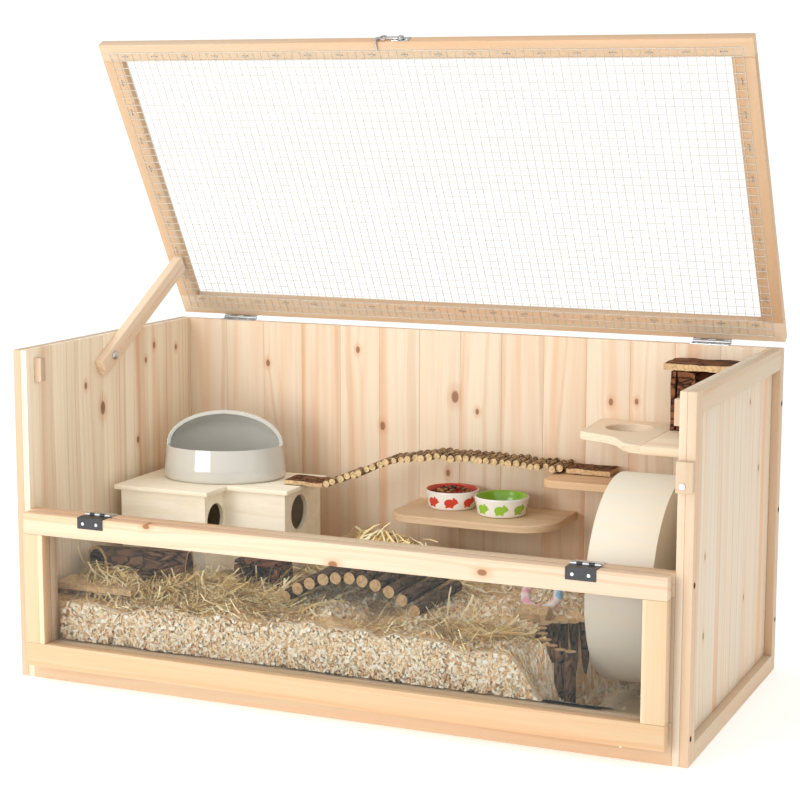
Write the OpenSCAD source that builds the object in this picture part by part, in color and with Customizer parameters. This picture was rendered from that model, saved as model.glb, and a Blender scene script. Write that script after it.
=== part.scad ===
// Wooden hamster cage with a hinged mesh lid, a fold-down glazed flap and its furnishing.
// The origin is on the table under the middle of the cage. +X is right, +Y is back, +Z is up.
// The lid is drawn propped open and the flap folded down, which is the rest pose.

/* [Cage] */
// Outer width
body_w = 1000; // [980:10:1100]
// Outer depth of the walls
body_d = 480; // [480:5:520]
// Height of the walls
body_h = 480; // [478:1:482]
// Thickness of the vertical planks
plank_t = 10; // [8:1:10]
// Thickness of the outer frame on the side walls
frame_t = 12; // [10:1:14]
// Thickness of the back wall
back_t = 13; // [12:1:13]
// Thickness of the floor board
floor_t = 10; // [8:1:12]
// Width of the front stile of a side frame
stile_w = 28; // [24:1:32]
// Width of the rear stile of a side frame
rear_stile_w = 20; // [18:1:24]
// Height of the top rail of a side frame
top_rail_h = 30; // [24:1:34]
// Height of the bottom rail of a side frame
low_rail_h = 25; // [20:1:30]
// Planks in a side wall
side_planks = 7; // [5:1:9]
// Planks in the back wall
back_planks_n = 14; // [10:1:16]

/* [Front] */
// Height of the fixed lower front
front_h = 250; // [248:1:252]
// Thickness of the lower front and of the flap
door_t = 18; // [16:1:18]
// Width of the stiles
door_stile = 32; // [28:1:34]
// Height of a top rail
door_top = 31; // [28:1:34]
// Height of the bottom rail of the lower front
front_low = 57; // [40:1:57]
// Thickness of the clear panes
pane_t = 3; // [2:0.5:4]
// Height of the flap
flap_h = 225; // [222:1:226]
// Height of the flap's free rail
flap_low = 35; // [30:1:38]
// Width of the glazing bead
bead_w = 8; // [6:1:9]

/* [Lid] */
// Angle of the open lid above the walls
lid_open = 59.65; // [59:0.05:60]
// Width of the lid
lid_w = 996; // [990:1:998]
// Depth of the lid
lid_d = 494; // [490:1:496]
// Thickness of the lid frame
lid_t = 14.5; // [13:0.5:16]
// Width of the side rails
lid_side = 32; // [28:1:36]
// Width of the rear rail
lid_rear = 34; // [30:1:38]
// Width of the front rail
lid_front = 28; // [26:1:32]
// Pitch of the welded mesh
mesh_pitch = 12.7; // [12.7, 19, 25.4]
// Wire diameter
wire_d = 0.9; // [0.7:0.1:1]

/* [Hardware] */
// Width of a lid hinge
lid_hinge_w = 58; // [50:1:64]
// Width of a flap hinge
flap_hinge_w = 41; // [36:1:46]
// Thickness of hinge plate
leaf_t = 1.2; // [1:0.1:1.2]
// Length of the prop arm
arm_len = 279.5; // [270:0.5:279.5]
// Width of the prop arm
arm_w = 26; // [22:1:26]
// Thickness of the prop arm
arm_t = 14; // [10:1:14]
// Distance from the arm's lower end to its bolt
arm_tail = 33; // [24:1:33]

/* [Running wheel] */
// Outer radius of the wheel
wheel_r = 142; // [120:1:142]
// Width of the running surface
wheel_w = 90; // [70:1:90]
// Thickness of the bent plywood
wheel_t = 3; // [3:0.5:5]

/* [House and sand bath] */
// Height of the house with its roof
house_h = 133; // [120:1:133]
// Thickness of the house walls
wall_t = 6; // [4:1:8]
// Half length of the sand bath
bath_a = 100; // [90:1:100]
// Half depth of the sand bath
bath_b = 75; // [60:1:75]
// Height of the sand bath
bath_h = 106; // [90:1:110]

/* [Shelves and bowls] */
// Thickness of the shelves
shelf_t = 12; // [10:1:14]
// Outer radius of a bowl at its rim
bowl_r = 42; // [36:1:42]
// Height of a bowl
bowl_h = 29; // [24:1:34]

/* [Logs and bedding] */
// Depth of the wood shavings over the floor
litter_h = 108; // [90:1:108]
// Twigs in the hanging bridge
twigs = 34; // [28:1:34]
// Twig diameter
twig_d = 9.6; // [8:0.2:9.8]
// Logs in the arched bridge
bridge_logs = 11; // [9:2:11]
// Log diameter
log_d = 18.4; // [16:0.2:18.8]
// Slats in the curved fence
fence_slats = 14; // [10:1:14]

/* [Hidden] */

// Clearance between pieces of different bodies
gap = 0.3;
side_t = plank_t + frame_t;
in_x = body_w / 2 - side_t;
front_y = -body_d / 2;
back_y = body_d / 2 - back_t;
litter_z = floor_t + litter_h;

// Flap: folded down against the front, hung on a pin just in front of the fixed rail
flap_x = in_x - 3;
flap_gap = 6;
flap_pin_y = front_y - flap_gap / 2;
flap_pin_z = front_h + leaf_t + 0.5;
flap_back_y = front_y - flap_gap;
flap_face_y = flap_back_y - door_t;
flap_hinge_x = 362;
pin_r = 1.25;
flap_barrel_r = 2.5;

// Lid: all pieces are drawn shut and turned about the hinge pin
lid_pin_y = body_d / 2 + 3.8;
lid_pin_z = body_h + 3;
lid_z = body_h + 6;
lid_rear_y = body_d / 2 + 1;
lid_front_y = lid_rear_y - lid_d;
lid_x = 2;
lid_hinge_x = 392;
lid_barrel_r = 2.7;
mesh_nx = 76;
mesh_ny = 37;
mesh_x = lid_x - mesh_nx * mesh_pitch / 2;
mesh_y = lid_rear_y - 11 - mesh_ny * mesh_pitch;
latch_x = -2;
tip_x = 36;
tip_drop = 2.6;

// Prop arm: bolted to the left wall, square to the lid when the lid is open
arm_angle = 90 - lid_open;
arm_low_y = -55.5;
arm_low_z = 432;
arm_y = arm_low_y + arm_tail * cos(arm_angle);
arm_z = arm_low_z + arm_tail * sin(arm_angle);
arm_x = -in_x + gap;
bolt_r = 3;

// Turn button
button_x = 486.5;
button_z = 363;
button_t = 10;

// Wheel
wheel_x = 343;
wheel_y = -48;
wheel_z = 192;
axle_r = 4;

// House: a deep left room and a set-back right room under two roof boards
roof_t = 7;
roof_z = litter_z + house_h;
house_x0 = -462;
house_x1 = -300;
house_x2 = -196;
house_y0 = -40;
house_y1 = 20;
house_y2 = 158;
eave = 8;

// Sand bath
bath_x = -338;
bath_y = 87;
bath_turn = 20;
bath_wall_h = 52;
glaze_t = 5;

// Shelves
bowl_shelf_z = 214;
bridge_shelf_z = 281;
corner_shelf_z = 360;
shelf_seam_x = 351;

// Twig bridge: ends of the walk and its high points, as x and z of the twigs' middles
twig_walk = [[-151, 258], [-104, 277], [-56, 297], [17, 303], [92, 297], [145, 292], [184, 289]];
twig_len = 52;
twig_y0 = 65;
twig_y1 = 173;

// Arched log bridge
arch_x = -20;
arch_top = 170;
arch_sag = 282;
arch_y0 = -140;
log_len = 162;

// Fence round the wheel
fence_x = 346;
fence_y = -98;
fence_r = 88;
slat_r = 8.5;

function walk_len(p) = [for (i = 0, s = 0; i < len(p); s = s + (i < len(p) - 1 ? norm(p[i + 1] - p[i]) : 0),
    i = i + 1) s];
function walk_at(p, s, c, i = 0) = i >= len(p) - 2 || s <= c[i + 1]
    ? p[i] + (p[i + 1] - p[i]) * (s - c[i]) / (c[i + 1] - c[i])
    : walk_at(p, s, c, i + 1);

module block(x0, x1, y0, y1, z0, z1) {
    translate([x0, y0, z0])
        cube([x1 - x0, y1 - y0, z1 - z0]);
}

module mirrored() {
    children();
    mirror([1, 0, 0])
        children();
}

module lid_swing() {
    translate([0, lid_pin_y, lid_pin_z])
        rotate([-lid_open, 0, 0])
            translate([0, -lid_pin_y, -lid_pin_z])
                children();
}

// Round stock along X, centred on x
module rod_x(x, y, z, r, length) {
    translate([x - length / 2, y, z])
        rotate([0, 90, 0])
            cylinder(r = r, h = length, $fn = 32);
}

// Round stock along Y from y0 to y1
module rod_y(x, y0, y1, z, r, sides = 32) {
    translate([x, y0, z])
        rotate([-90, 0, 0])
            cylinder(r = r, h = y1 - y0, $fn = sides);
}

/* Carcass */

module floor_panel() {
    color("burlywood")
        block(-in_x, in_x, front_y + door_t, back_y, 0, floor_t);
}

// Places of the screws: along X into the front rails and the back wall, along Y into the shelves
module carcass_screw_set(r, head_r) {
    mirrored() {
        for (z = [56 - 20, 214 + 21])
            side_screw(front_y + door_t / 2, z, r, head_r);
        for (z = [77, 242, 399])
            side_screw(back_y + back_t / 2, z, r, head_r);
    }
    for (p = [[-20, bowl_shelf_z], [150, bowl_shelf_z], [200, bridge_shelf_z], [280, bridge_shelf_z],
        [330, corner_shelf_z], [440, corner_shelf_z]])
        shelf_screw(p[0], p[1] - shelf_t / 2, r, head_r);
}

module side_screw(y, z, r, head_r) {
    rod_x(body_w / 2 - 22, y, z, r, 43.9);
    rod_x(body_w / 2 - 1, y, z, head_r, 2);
}

module shelf_screw(x, z, r, head_r) {
    rod_y(x, back_y - 24, body_d / 2 - 0.1, z, r);
    rod_y(x, body_d / 2 - 2, body_d / 2, z, head_r);
}

module carcass_holes() {
    carcass_screw_set(1.8, 4);
}

module carcass_screws() {
    color("silver")
        carcass_screw_set(1.75, 3.95);
}

module v_groove_x(x, y) {
    translate([x, y, -1])
        rotate([0, 0, 45])
            cube([0.8, 0.8, body_h + 2]);
}

module side_plank_wall() {
    pitch = (body_d - back_t) / side_planks;
    difference() {
        block(in_x, in_x + plank_t, front_y, body_d / 2, 0, body_h);
        for (i = [1 : side_planks - 1])
            v_groove_x(in_x, front_y + i * pitch - 0.57);
        carcass_holes();
        rod_x(in_x + plank_t / 2, arm_y, arm_z, bolt_r + 0.05, plank_t + 2);
    }
}

module left_side_planks() {
    color("wheat")
        mirror([1, 0, 0])
            side_plank_wall();
}

module right_side_planks() {
    color("wheat")
        difference() {
            block(in_x, in_x + plank_t, front_y, body_d / 2, 0, body_h);
            for (i = [1 : side_planks - 1])
                v_groove_x(in_x, front_y + i * (body_d - back_t) / side_planks - 0.57);
            carcass_holes();
            button_hole();
        }
}

module button_hole() {
    rod_y(button_x, front_y - 1, front_y + 18.1, button_z, 2.04);
}

// Two stiles with two rails between them, glued over the planks
module side_frame() {
    x0 = in_x + plank_t;
    x1 = body_w / 2;
    difference() {
        union() {
            block(x0, x1, front_y, front_y + stile_w, 0, body_h);
            block(x0, x1, body_d / 2 - rear_stile_w, body_d / 2, 0, body_h);
        }
        carcass_holes();
    }
    block(x0, x1, front_y + stile_w, body_d / 2 - rear_stile_w, body_h - top_rail_h, body_h);
    block(x0, x1, front_y + stile_w, body_d / 2 - rear_stile_w, 0, low_rail_h);
}

// The nut of the prop arm sits in a round notch in the top rail
module left_side_frame() {
    color("navajowhite")
        difference() {
            mirror([1, 0, 0])
                side_frame();
            rod_x(-body_w / 2 + frame_t / 2, arm_y, arm_z, 6.5, frame_t + 1);
        }
}

module right_side_frame() {
    color("navajowhite")
        difference() {
            side_frame();
            button_hole();
        }
}

module back_planks() {
    pitch = 2 * in_x / back_planks_n;
    color("wheat")
        difference() {
            block(-in_x, in_x, back_y, body_d / 2, 0, body_h);
            for (i = [1 : back_planks_n - 1])
                v_groove_x(-in_x + i * pitch, back_y - 0.57);
            carcass_holes();
            carcass_hinge_screw_set(1.05, 1.06);
        }
}

/* Fixed lower front */

module pane_slot(x, y0, y1, z0, z1) {
    block(-x, x, y0, y1, z0, z1);
}

module lower_front_rails() {
    color("navajowhite")
        difference() {
            union() {
                block(-in_x, in_x, front_y, front_y + door_t, front_h - door_top, front_h);
                block(-in_x, in_x, front_y, front_y + door_t, 0, front_low);
            }
            lower_pane_body();
            carcass_holes();
            carcass_hinge_screw_set(1.05, 1.06);
        }
}

module lower_front_stiles() {
    color("burlywood")
        difference() {
            mirrored()
                block(in_x - door_stile, in_x, front_y, front_y + door_t, front_low, front_h - door_top);
            lower_pane_body();
        }
}

module lower_pane_body() {
    pane_slot(in_x - door_stile + 6, front_y + 8, front_y + 8 + pane_t, front_low - 6, front_h - door_top + 6);
}

module lower_pane() {
    color("lightblue", 0.3)
        lower_pane_body();
}

// Blocks on the side walls that stop the closed flap
module stop_blocks() {
    color("navajowhite")
        mirrored()
            block(in_x - 12, in_x, front_y + door_t + 0.5, front_y + door_t + 12.5, 433, 467);
}

/* Turn button */

module turn_button() {
    color("navajowhite")
        difference() {
            block(button_x - 9, button_x + 13, front_y - button_t - gap, front_y - gap, button_z - 9, button_z + 31);
            rod_y(button_x, front_y - button_t - 1, front_y, button_z, 2.05);
        }
}

module turn_button_screw() {
    color("silver")
        union() {
            rod_y(button_x, front_y - button_t - gap - 0.1, front_y + 18, button_z, 2);
            rod_y(button_x, front_y - button_t - gap - 1.6, front_y - button_t - gap - 0.1, button_z, 3.8);
        }
}

/* Flap */

flap_z1 = front_h;
flap_z0 = front_h - flap_h;

module flap_bead_set() {
    y0 = flap_face_y;
    y1 = flap_face_y + 7;
    z0 = flap_z0 + flap_low - 1;
    z1 = flap_z1 - door_top;
    x1 = flap_x - door_stile + bead_w;
    mirrored()
        block(x1 - bead_w, x1, y0, y1, z0, z1);
}

module flap_pane_body() {
    z0 = flap_z0 + flap_low - 6;
    pane_slot(flap_x - door_stile + 6, flap_face_y + 7, flap_face_y + 7 + pane_t, z0, flap_z1 - door_top + 6);
}

module flap_rails() {
    color("navajowhite")
        difference() {
            union() {
                block(-flap_x, flap_x, flap_face_y, flap_back_y, flap_z1 - door_top, flap_z1);
                block(-flap_x, flap_x, flap_face_y, flap_back_y, flap_z0, flap_z0 + flap_low - 1);
            }
            flap_pane_body();
            flap_screw_set(1.05, 2.35);
            keeper_screws(1.05);
        }
}

module flap_stiles() {
    color("burlywood")
        difference() {
            mirrored()
                block(flap_x - door_stile, flap_x, flap_face_y, flap_back_y, flap_z0 + flap_low - 1,
                    flap_z1 - door_top);
            flap_pane_body();
            flap_bead_set();
        }
}

module flap_pane() {
    color("lightblue", 0.3)
        flap_pane_body();
}

module flap_beads() {
    color("wheat")
        flap_bead_set();
}

// Thin plate with a lip, on the face of the flap that is outside when it is shut
module flap_keeper() {
    x = latch_x + lid_t / 2 + tip_drop;
    color("silver")
        difference() {
            union() {
                block(x - 14, x + 14, flap_back_y, flap_back_y + 1.2, flap_z0 + 8, flap_z0 + 24);
                block(x - 3, x + 5, flap_back_y + 1.2, flap_back_y + 4, flap_z0 + 18, flap_z0 + 19.5);
            }
            keeper_screws(1.05);
        }
}

module keeper_screws(r) {
    x = latch_x + lid_t / 2 + tip_drop;
    for (s = [-10, 10])
        rod_y(x + s, flap_back_y - 8, flap_back_y + 1.25, flap_z0 + 13, r, 24);
}

/* Flap hinges: bent moving leaf, flat fixed leaf, five knuckles on a pin */

// One of n knuckles of a hinge w wide that is centred on x, with a bore for the pin
module knuckle(x, y, z, w, i, n, r) {
    step = w / n;
    difference() {
        rod_x(x - w / 2 + (i + 0.5) * step, y, z, r, step - 0.2);
        rod_x(x, y, z, pin_r + 0.03, w + 2);
    }
}

module flap_screw_set(r, head_r) {
    for (x = [-flap_hinge_x, flap_hinge_x], s = [-11, 11]) {
        rod_y(x + s, flap_face_y - leaf_t - 0.1, flap_face_y + 9, flap_z1 - 7.5, r, 24);
        rod_y(x + s, flap_face_y - leaf_t - 1, flap_face_y - leaf_t, flap_z1 - 7.5, head_r, 24);
    }
}

module flap_hinge_moving_leaves() {
    color("dimgray")
        for (x = [-flap_hinge_x, flap_hinge_x])
            difference() {
                union() {
                    block(x - flap_hinge_w / 2, x + flap_hinge_w / 2, flap_face_y, flap_pin_y - 3.2,
                        flap_z1, flap_z1 + leaf_t);
                    block(x - flap_hinge_w / 2, x + flap_hinge_w / 2, flap_face_y - leaf_t, flap_face_y,
                        flap_z1 - 15, flap_z1 + leaf_t);
                    for (i = [1, 3])
                        union() {
                            knuckle(x, flap_pin_y, flap_pin_z, flap_hinge_w, i, 5, flap_barrel_r);
                            knuckle_strap(x, i, flap_pin_y - 3.3, flap_pin_y - 2.1);
                        }
                }
                rod_x(x, flap_pin_y, flap_pin_z, pin_r + 0.03, flap_hinge_w + 2);
                flap_screw_set(1.05, 1.06);
            }
}

module knuckle_strap(x, i, y0, y1) {
    step = flap_hinge_w / 5;
    x0 = x - flap_hinge_w / 2 + i * step + 0.1;
    block(x0, x0 + step - 0.2, y0, y1, flap_z1, flap_z1 + leaf_t);
}

module flap_hinge_fixed_leaves() {
    color("silver")
        for (x = [-flap_hinge_x, flap_hinge_x])
            difference() {
                union() {
                    block(x - flap_hinge_w / 2, x + flap_hinge_w / 2, flap_pin_y + 3.2, front_y + door_t,
                        front_h, front_h + leaf_t);
                    for (i = [0, 2, 4])
                        union() {
                            knuckle(x, flap_pin_y, flap_pin_z, flap_hinge_w, i, 5, flap_barrel_r);
                            knuckle_strap(x, i, flap_pin_y + 2.1, flap_pin_y + 3.3);
                        }
                }
                rod_x(x, flap_pin_y, flap_pin_z, pin_r + 0.03, flap_hinge_w + 2);
                carcass_hinge_screw_set(1.05, 1.06);
            }
}

module flap_hinge_pins() {
    color("gray")
        for (x = [-flap_hinge_x, flap_hinge_x])
            rod_x(x, flap_pin_y, flap_pin_z, pin_r, flap_hinge_w);
}

// Screws of the moving leaves and of the keeper
module flap_screws() {
    x = latch_x + lid_t / 2 + tip_drop;
    color("silver")
        union() {
            flap_screw_set(1, 2.3);
            keeper_screws(1);
            for (s = [-10, 10])
                rod_y(x + s, flap_back_y + 1.2, flap_back_y + 2, flap_z0 + 13, 2, 24);
        }
}

// Screws that hold the fixed leaves to the lower front and to the back wall
module carcass_hinge_screw_set(r, head_r) {
    for (x = [-flap_hinge_x, flap_hinge_x], s = [-11, 11])
        translate([x + s, front_y + door_t - 8, front_h - 6])
            post_screw(r, head_r, 6 + leaf_t);
    for (x = [-lid_hinge_x, lid_hinge_x], s = [-20, 0, 20])
        translate([x + s, back_y + 5.5, body_h - 10])
            post_screw(r, head_r, 10 + leaf_t);
}

module post_screw(r, head_r, length) {
    cylinder(r = r, h = length + 0.1, $fn = 24);
    translate([0, 0, length])
        cylinder(r = head_r, h = 0.7, $fn = 24);
}

module carcass_hinge_screws() {
    color("silver")
        carcass_hinge_screw_set(1, 2.1);
}

/* Lid */

module lid_rails() {
    color("navajowhite")
        lid_swing()
            difference() {
                union() {
                    block(lid_x - lid_w / 2, lid_x + lid_w / 2, lid_rear_y - lid_rear, lid_rear_y, lid_z,
                        lid_z + lid_t);
                    block(lid_x - lid_w / 2, lid_x + lid_w / 2, lid_front_y, lid_front_y + lid_front, lid_z,
                        lid_z + lid_t);
                }
                lid_hinge_screw_set(1.05);
                latch_screws(1.05);
            }
}

module lid_side_rails() {
    color("burlywood")
        lid_swing()
            for (s = [-1, 1])
                translate([lid_x + s * (lid_w - lid_side) / 2, 0, 0])
                    block(-lid_side / 2, lid_side / 2, lid_front_y + lid_front, lid_rear_y - lid_rear, lid_z,
                        lid_z + lid_t);
}

// Wires run one way just under the frame and the other way just under those
module lid_mesh() {
    x1 = mesh_x + mesh_nx * mesh_pitch;
    y1 = mesh_y + mesh_ny * mesh_pitch;
    color("gainsboro")
        lid_swing()
            union() {
                for (i = [0 : mesh_nx])
                    rod_y(mesh_x + i * mesh_pitch, mesh_y, y1, lid_z - wire_d / 2, wire_d / 2, 16);
                for (j = [0 : mesh_ny])
                    rod_x((mesh_x + x1) / 2, mesh_y + j * mesh_pitch, lid_z - 1.5 * wire_d - 0.02, wire_d / 2,
                        x1 - mesh_x);
            }
}

// A crown over one wire with two legs that end at the wood
module staple(x, y, along) {
    top = lid_z - 2 * wire_d - 0.04;
    translate([x, y, top])
        rotate([0, 0, along ? 0 : 90])
            union() {
                translate([-5, -0.6, -0.6])
                    cube([10, 1.2, 0.6]);
                for (s = [-5, 4.2])
                    translate([s, -0.6, -0.6])
                        cube([0.8, 1.2, lid_z - top + 0.6]);
            }
}

module lid_staples() {
    front = mesh_y + mesh_pitch / 2;
    rear = mesh_y + (mesh_ny - 1.5) * mesh_pitch;
    color("silver")
        lid_swing()
            union() {
                for (i = [2 : 4 : mesh_nx - 2])
                    staple(mesh_x + i * mesh_pitch, front, true);
                for (i = [2 : 4 : mesh_nx - 2])
                    staple(mesh_x + i * mesh_pitch, rear, true);
                for (j = [4 : 4 : mesh_ny - 4], x = [mesh_x + mesh_pitch / 2, mesh_x + (mesh_nx - 0.5) * mesh_pitch])
                    staple(x, mesh_y + j * mesh_pitch, false);
            }
}

/* Lid hinges: fixed leaf on the wall's top edge, moving leaf on the lid's rear edge */

module lid_hinge_screw_set(r) {
    for (x = [-lid_hinge_x, lid_hinge_x], s = [-10, 10])
        rod_y(x + s, lid_rear_y - 10, lid_rear_y + leaf_t + 0.1, lid_z + 8, r, 24);
}

// A knuckle with the strap that joins it to its leaf
module lid_knuckle(x, i, y0, y1, z0, z1) {
    step = lid_hinge_w / 5;
    x0 = x - lid_hinge_w / 2 + i * step + 0.1;
    knuckle(x, lid_pin_y, lid_pin_z, lid_hinge_w, i, 5, lid_barrel_r);
    block(x0, x0 + step - 0.2, y0, y1, z0, z1);
}

module lid_hinge_moving_leaves() {
    y0 = lid_rear_y;
    y1 = lid_rear_y + leaf_t;
    color("silver")
        lid_swing()
            for (x = [-lid_hinge_x, lid_hinge_x])
                difference() {
                    union() {
                        block(x - lid_hinge_w / 2, x + lid_hinge_w / 2, y0, y1, lid_z + 0.2, lid_z + 13);
                        for (i = [1, 3])
                            lid_knuckle(x, i, y0, y1, lid_pin_z, lid_z + 0.3);
                    }
                    rod_x(x, lid_pin_y, lid_pin_z, pin_r + 0.03, lid_hinge_w + 2);
                    lid_hinge_screw_set(1.05);
                }
}

module lid_hinge_fixed_leaves() {
    y1 = lid_pin_y - lid_barrel_r - 0.4;
    color("silver")
        for (x = [-lid_hinge_x, lid_hinge_x])
            difference() {
                union() {
                    block(x - lid_hinge_w / 2, x + lid_hinge_w / 2, back_y, y1, body_h, body_h + leaf_t);
                    for (i = [0, 2, 4])
                        lid_knuckle(x, i, y1 - 0.1, lid_pin_y - 0.9, body_h, body_h + leaf_t);
                }
                rod_x(x, lid_pin_y, lid_pin_z, pin_r + 0.03, lid_hinge_w + 2);
                carcass_hinge_screw_set(1.05, 1.06);
            }
}

module lid_hinge_pins() {
    color("gray")
        for (x = [-lid_hinge_x, lid_hinge_x])
            rod_x(x, lid_pin_y, lid_pin_z, pin_r, lid_hinge_w);
}

// Screws of the moving leaves and of the latch plate
module lid_screws() {
    color("silver")
        lid_swing()
            union() {
                lid_hinge_screw_set(1);
                for (x = [-lid_hinge_x, lid_hinge_x], s = [-10, 10])
                    rod_y(x + s, lid_rear_y + leaf_t, lid_rear_y + leaf_t + 0.8, lid_z + 8, 2, 24);
                latch_screws(1);
                for (s = [-9, 9])
                    rod_y(latch_x + s, latch_y - 0.8, latch_y, hook_z, 2, 24);
            }
}

/* Latch on the lid's front edge */

hook_z = lid_z + lid_t / 2;
latch_y = lid_front_y - 1.2;

module latch_screws(r) {
    for (s = [-9, 9])
        rod_y(latch_x + s, latch_y - 0.1, lid_front_y + 7, hook_z, r, 24);
}

module latch_plate() {
    color("silver")
        lid_swing()
            difference() {
                union() {
                    block(latch_x - 13, latch_x + 13, latch_y, lid_front_y, hook_z - 5.5, hook_z + 5.5);
                    rod_y(latch_x, latch_y - 3.2, latch_y, hook_z, 2);
                    rod_y(latch_x, latch_y - 4.2, latch_y - 3.2, hook_z, 3.6);
                }
                latch_screws(1.05);
            }
}

// Ring on the pivot, a shank, an open ring and a bent tip that drops behind the keeper's lip
module latch_hook() {
    y0 = latch_y - 3;
    y1 = latch_y - 1.2;
    ring_x = latch_x - tip_x + 9;
    color("silver")
        lid_swing()
            difference() {
                union() {
                    rod_y(latch_x, y0, y1, hook_z, 5);
                    block(ring_x + 4, latch_x - 3.5, y0, y1, hook_z - 2, hook_z + 2);
                    rod_y(ring_x, y0, y1, hook_z, 6);
                    block(latch_x - tip_x - 2, ring_x, y0, y1, hook_z - 2, hook_z + 1);
                    block(latch_x - tip_x - 2, latch_x - tip_x + 2, y0, y1, lid_z - tip_drop, hook_z);
                    rod_y(latch_x - tip_x, y0, y0 + 15.2, lid_z - tip_drop, 1.3);
                }
                rod_y(latch_x, y0 - 1, y1 + 1, hook_z, 2.06);
                rod_y(ring_x, y0 - 1, y1 + 1, hook_z, 3.2);
            }
}

/* Prop arm */

module arm_frame() {
    translate([arm_x, arm_y, arm_z])
        rotate([arm_angle, 0, 0])
            children();
}

module prop_arm() {
    r = 4;
    color("burlywood")
        arm_frame()
            difference() {
                union() {
                    translate([0, -arm_tail, -arm_w / 2])
                        cube([arm_t, arm_len - r, arm_w]);
                    translate([0, -arm_tail, r - arm_w / 2])
                        cube([arm_t, arm_len, arm_w - 2 * r]);
                    for (s = [-1, 1])
                        translate([0, arm_len - arm_tail - r, s * (arm_w / 2 - r)])
                            rotate([0, 90, 0])
                                cylinder(r = r, h = arm_t, $fn = 32);
                }
                rotate([0, 90, 0])
                    translate([0, 0, -1])
                        cylinder(r = bolt_r + 0.05, h = arm_t + 2, $fn = 32);
            }
}

// Domed bolt through the arm and the left wall
module prop_bolt() {
    color("silver")
        translate([-in_x + gap, arm_y, arm_z])
            rotate([0, 90, 0])
                rotate_extrude($fn = 48)
                    polygon(concat([[0, -plank_t - 10], [bolt_r, -plank_t - 10], [bolt_r, arm_t + 0.1]],
                        [for (a = [0 : 10 : 90]) [7 * cos(a), arm_t + 0.6 + 4 * sin(a)]]));
}

module prop_nut() {
    color("silver")
        difference() {
            rod_x(-in_x - plank_t - 2.5, arm_y, arm_z, 5.5, 5);
            rod_x(-in_x - plank_t - 2.5, arm_y, arm_z, bolt_r, 6);
        }
}

/* Running wheel */

module wheel_band() {
    color("antiquewhite")
        translate([wheel_x, wheel_y, wheel_z])
            rotate([0, 90, 0])
                rotate_extrude($fn = 96)
                    translate([wheel_r - wheel_t, 0])
                        square([wheel_t, wheel_w]);
}

module wheel_disc() {
    disc_t = 5;
    color("antiquewhite")
        translate([wheel_x + wheel_w - disc_t - 3, wheel_y, wheel_z])
            rotate([0, 90, 0])
                rotate_extrude($fn = 96)
                    polygon([[axle_r + 0.05, 0], [wheel_r - wheel_t, 0], [wheel_r - wheel_t, disc_t],
                        [16, disc_t], [16, disc_t + 4], [axle_r + 0.05, disc_t + 4]]);
}

// Bolt held in the stand, with a head and washer inside the wheel
module wheel_axle() {
    x0 = wheel_x + wheel_w - 8;
    color("silver")
        union() {
            rod_x(x0 + 19, wheel_y, wheel_z, axle_r, 46);
            rod_x(x0 - 3, wheel_y, wheel_z, 9, 5.4);
        }
}

module wheel_stand() {
    x0 = wheel_x + wheel_w + 5;
    base_top = floor_t + 12;
    color("burlywood")
        union() {
            block(wheel_x - 5, in_x - 8, wheel_y - 100, wheel_y + 60, floor_t, base_top);
            difference() {
                translate([x0, wheel_y, 0])
                    rotate([90, 0, 90])
                        linear_extrude(12)
                            polygon(concat([[-45, base_top], [45, base_top]],
                                [for (a = [0 : 15 : 180]) [24 * cos(a), wheel_z + 24 * sin(a)]]));
                rod_x(x0 + 6, wheel_y, wheel_z, axle_r + 0.01, 14);
            }
        }
}

/* Plywood house */

module house_walls() {
    z0 = litter_z;
    z1 = roof_z - roof_t;
    xa = house_x0 + eave;
    xb = house_x1 - eave;
    xc = house_x2 - eave;
    ya = house_y0 + eave;
    yb = house_y1 + eave;
    yc = house_y2 - eave;
    color("moccasin")
        union() {
            block(xa, xb - wall_t, ya, ya + wall_t, z0, z1);
            block(xa, xa + wall_t, ya + wall_t, yc - wall_t, z0, z1);
            block(xa, xc, yc - wall_t, yc, z0, z1);
            block(xb, xc - wall_t, yb, yb + wall_t, z0, z1);
            difference() {
                block(xb - wall_t, xb, ya, yc - wall_t, z0, z1);
                rod_x(xb, ya + 32, 202, 25, 20);
            }
            difference() {
                block(xc - wall_t, xc, yb, yc - wall_t, z0, z1);
                rod_x(xc, 76, 208, 27, 20);
            }
        }
}

module house_roofs() {
    color("cornsilk")
        union() {
            block(house_x0, house_x1, house_y0, house_y2, roof_z - roof_t, roof_z);
            block(house_x1 + 0.4, house_x2, house_y1, house_y2, roof_z - roof_t, roof_z);
        }
}

/* Hooded sand bath */

module oval(a, b, z, h) {
    translate([0, 0, z])
        linear_extrude(h)
            polygon([for (t = [0 : 7.5 : 352.5]) [a * cos(t), b * sin(t)]]);
}

module oval_shell(a, b, a2, b2, z0, z1, top) {
    hull() {
        oval(a, b, z0, 0.01);
        oval(a2, b2, z1, 0.01);
        for (e = [15 : 15 : 75])
            oval(a2 * cos(e), b2 * cos(e), z1 + (top - z1) * sin(e), 0.01);
        oval(a2 * 0.06, b2 * 0.06, top - 0.01, 0.01);
    }
}

module sand_bath() {
    color("gainsboro")
        translate([bath_x, bath_y, roof_z])
            rotate([0, 0, bath_turn])
                difference() {
                    oval_shell(bath_a, bath_b, bath_a - 8, bath_b - 6, 0, bath_wall_h, bath_h);
                    oval_shell(bath_a - 6, bath_b - 6, bath_a - 8 - glaze_t, bath_b - 6 - glaze_t, 6, bath_wall_h,
                        bath_h - glaze_t);
                    block(-bath_a, bath_a, -bath_b, 0, bath_wall_h, bath_h + 1);
                }
}

/* Shelves on the back wall */

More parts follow.
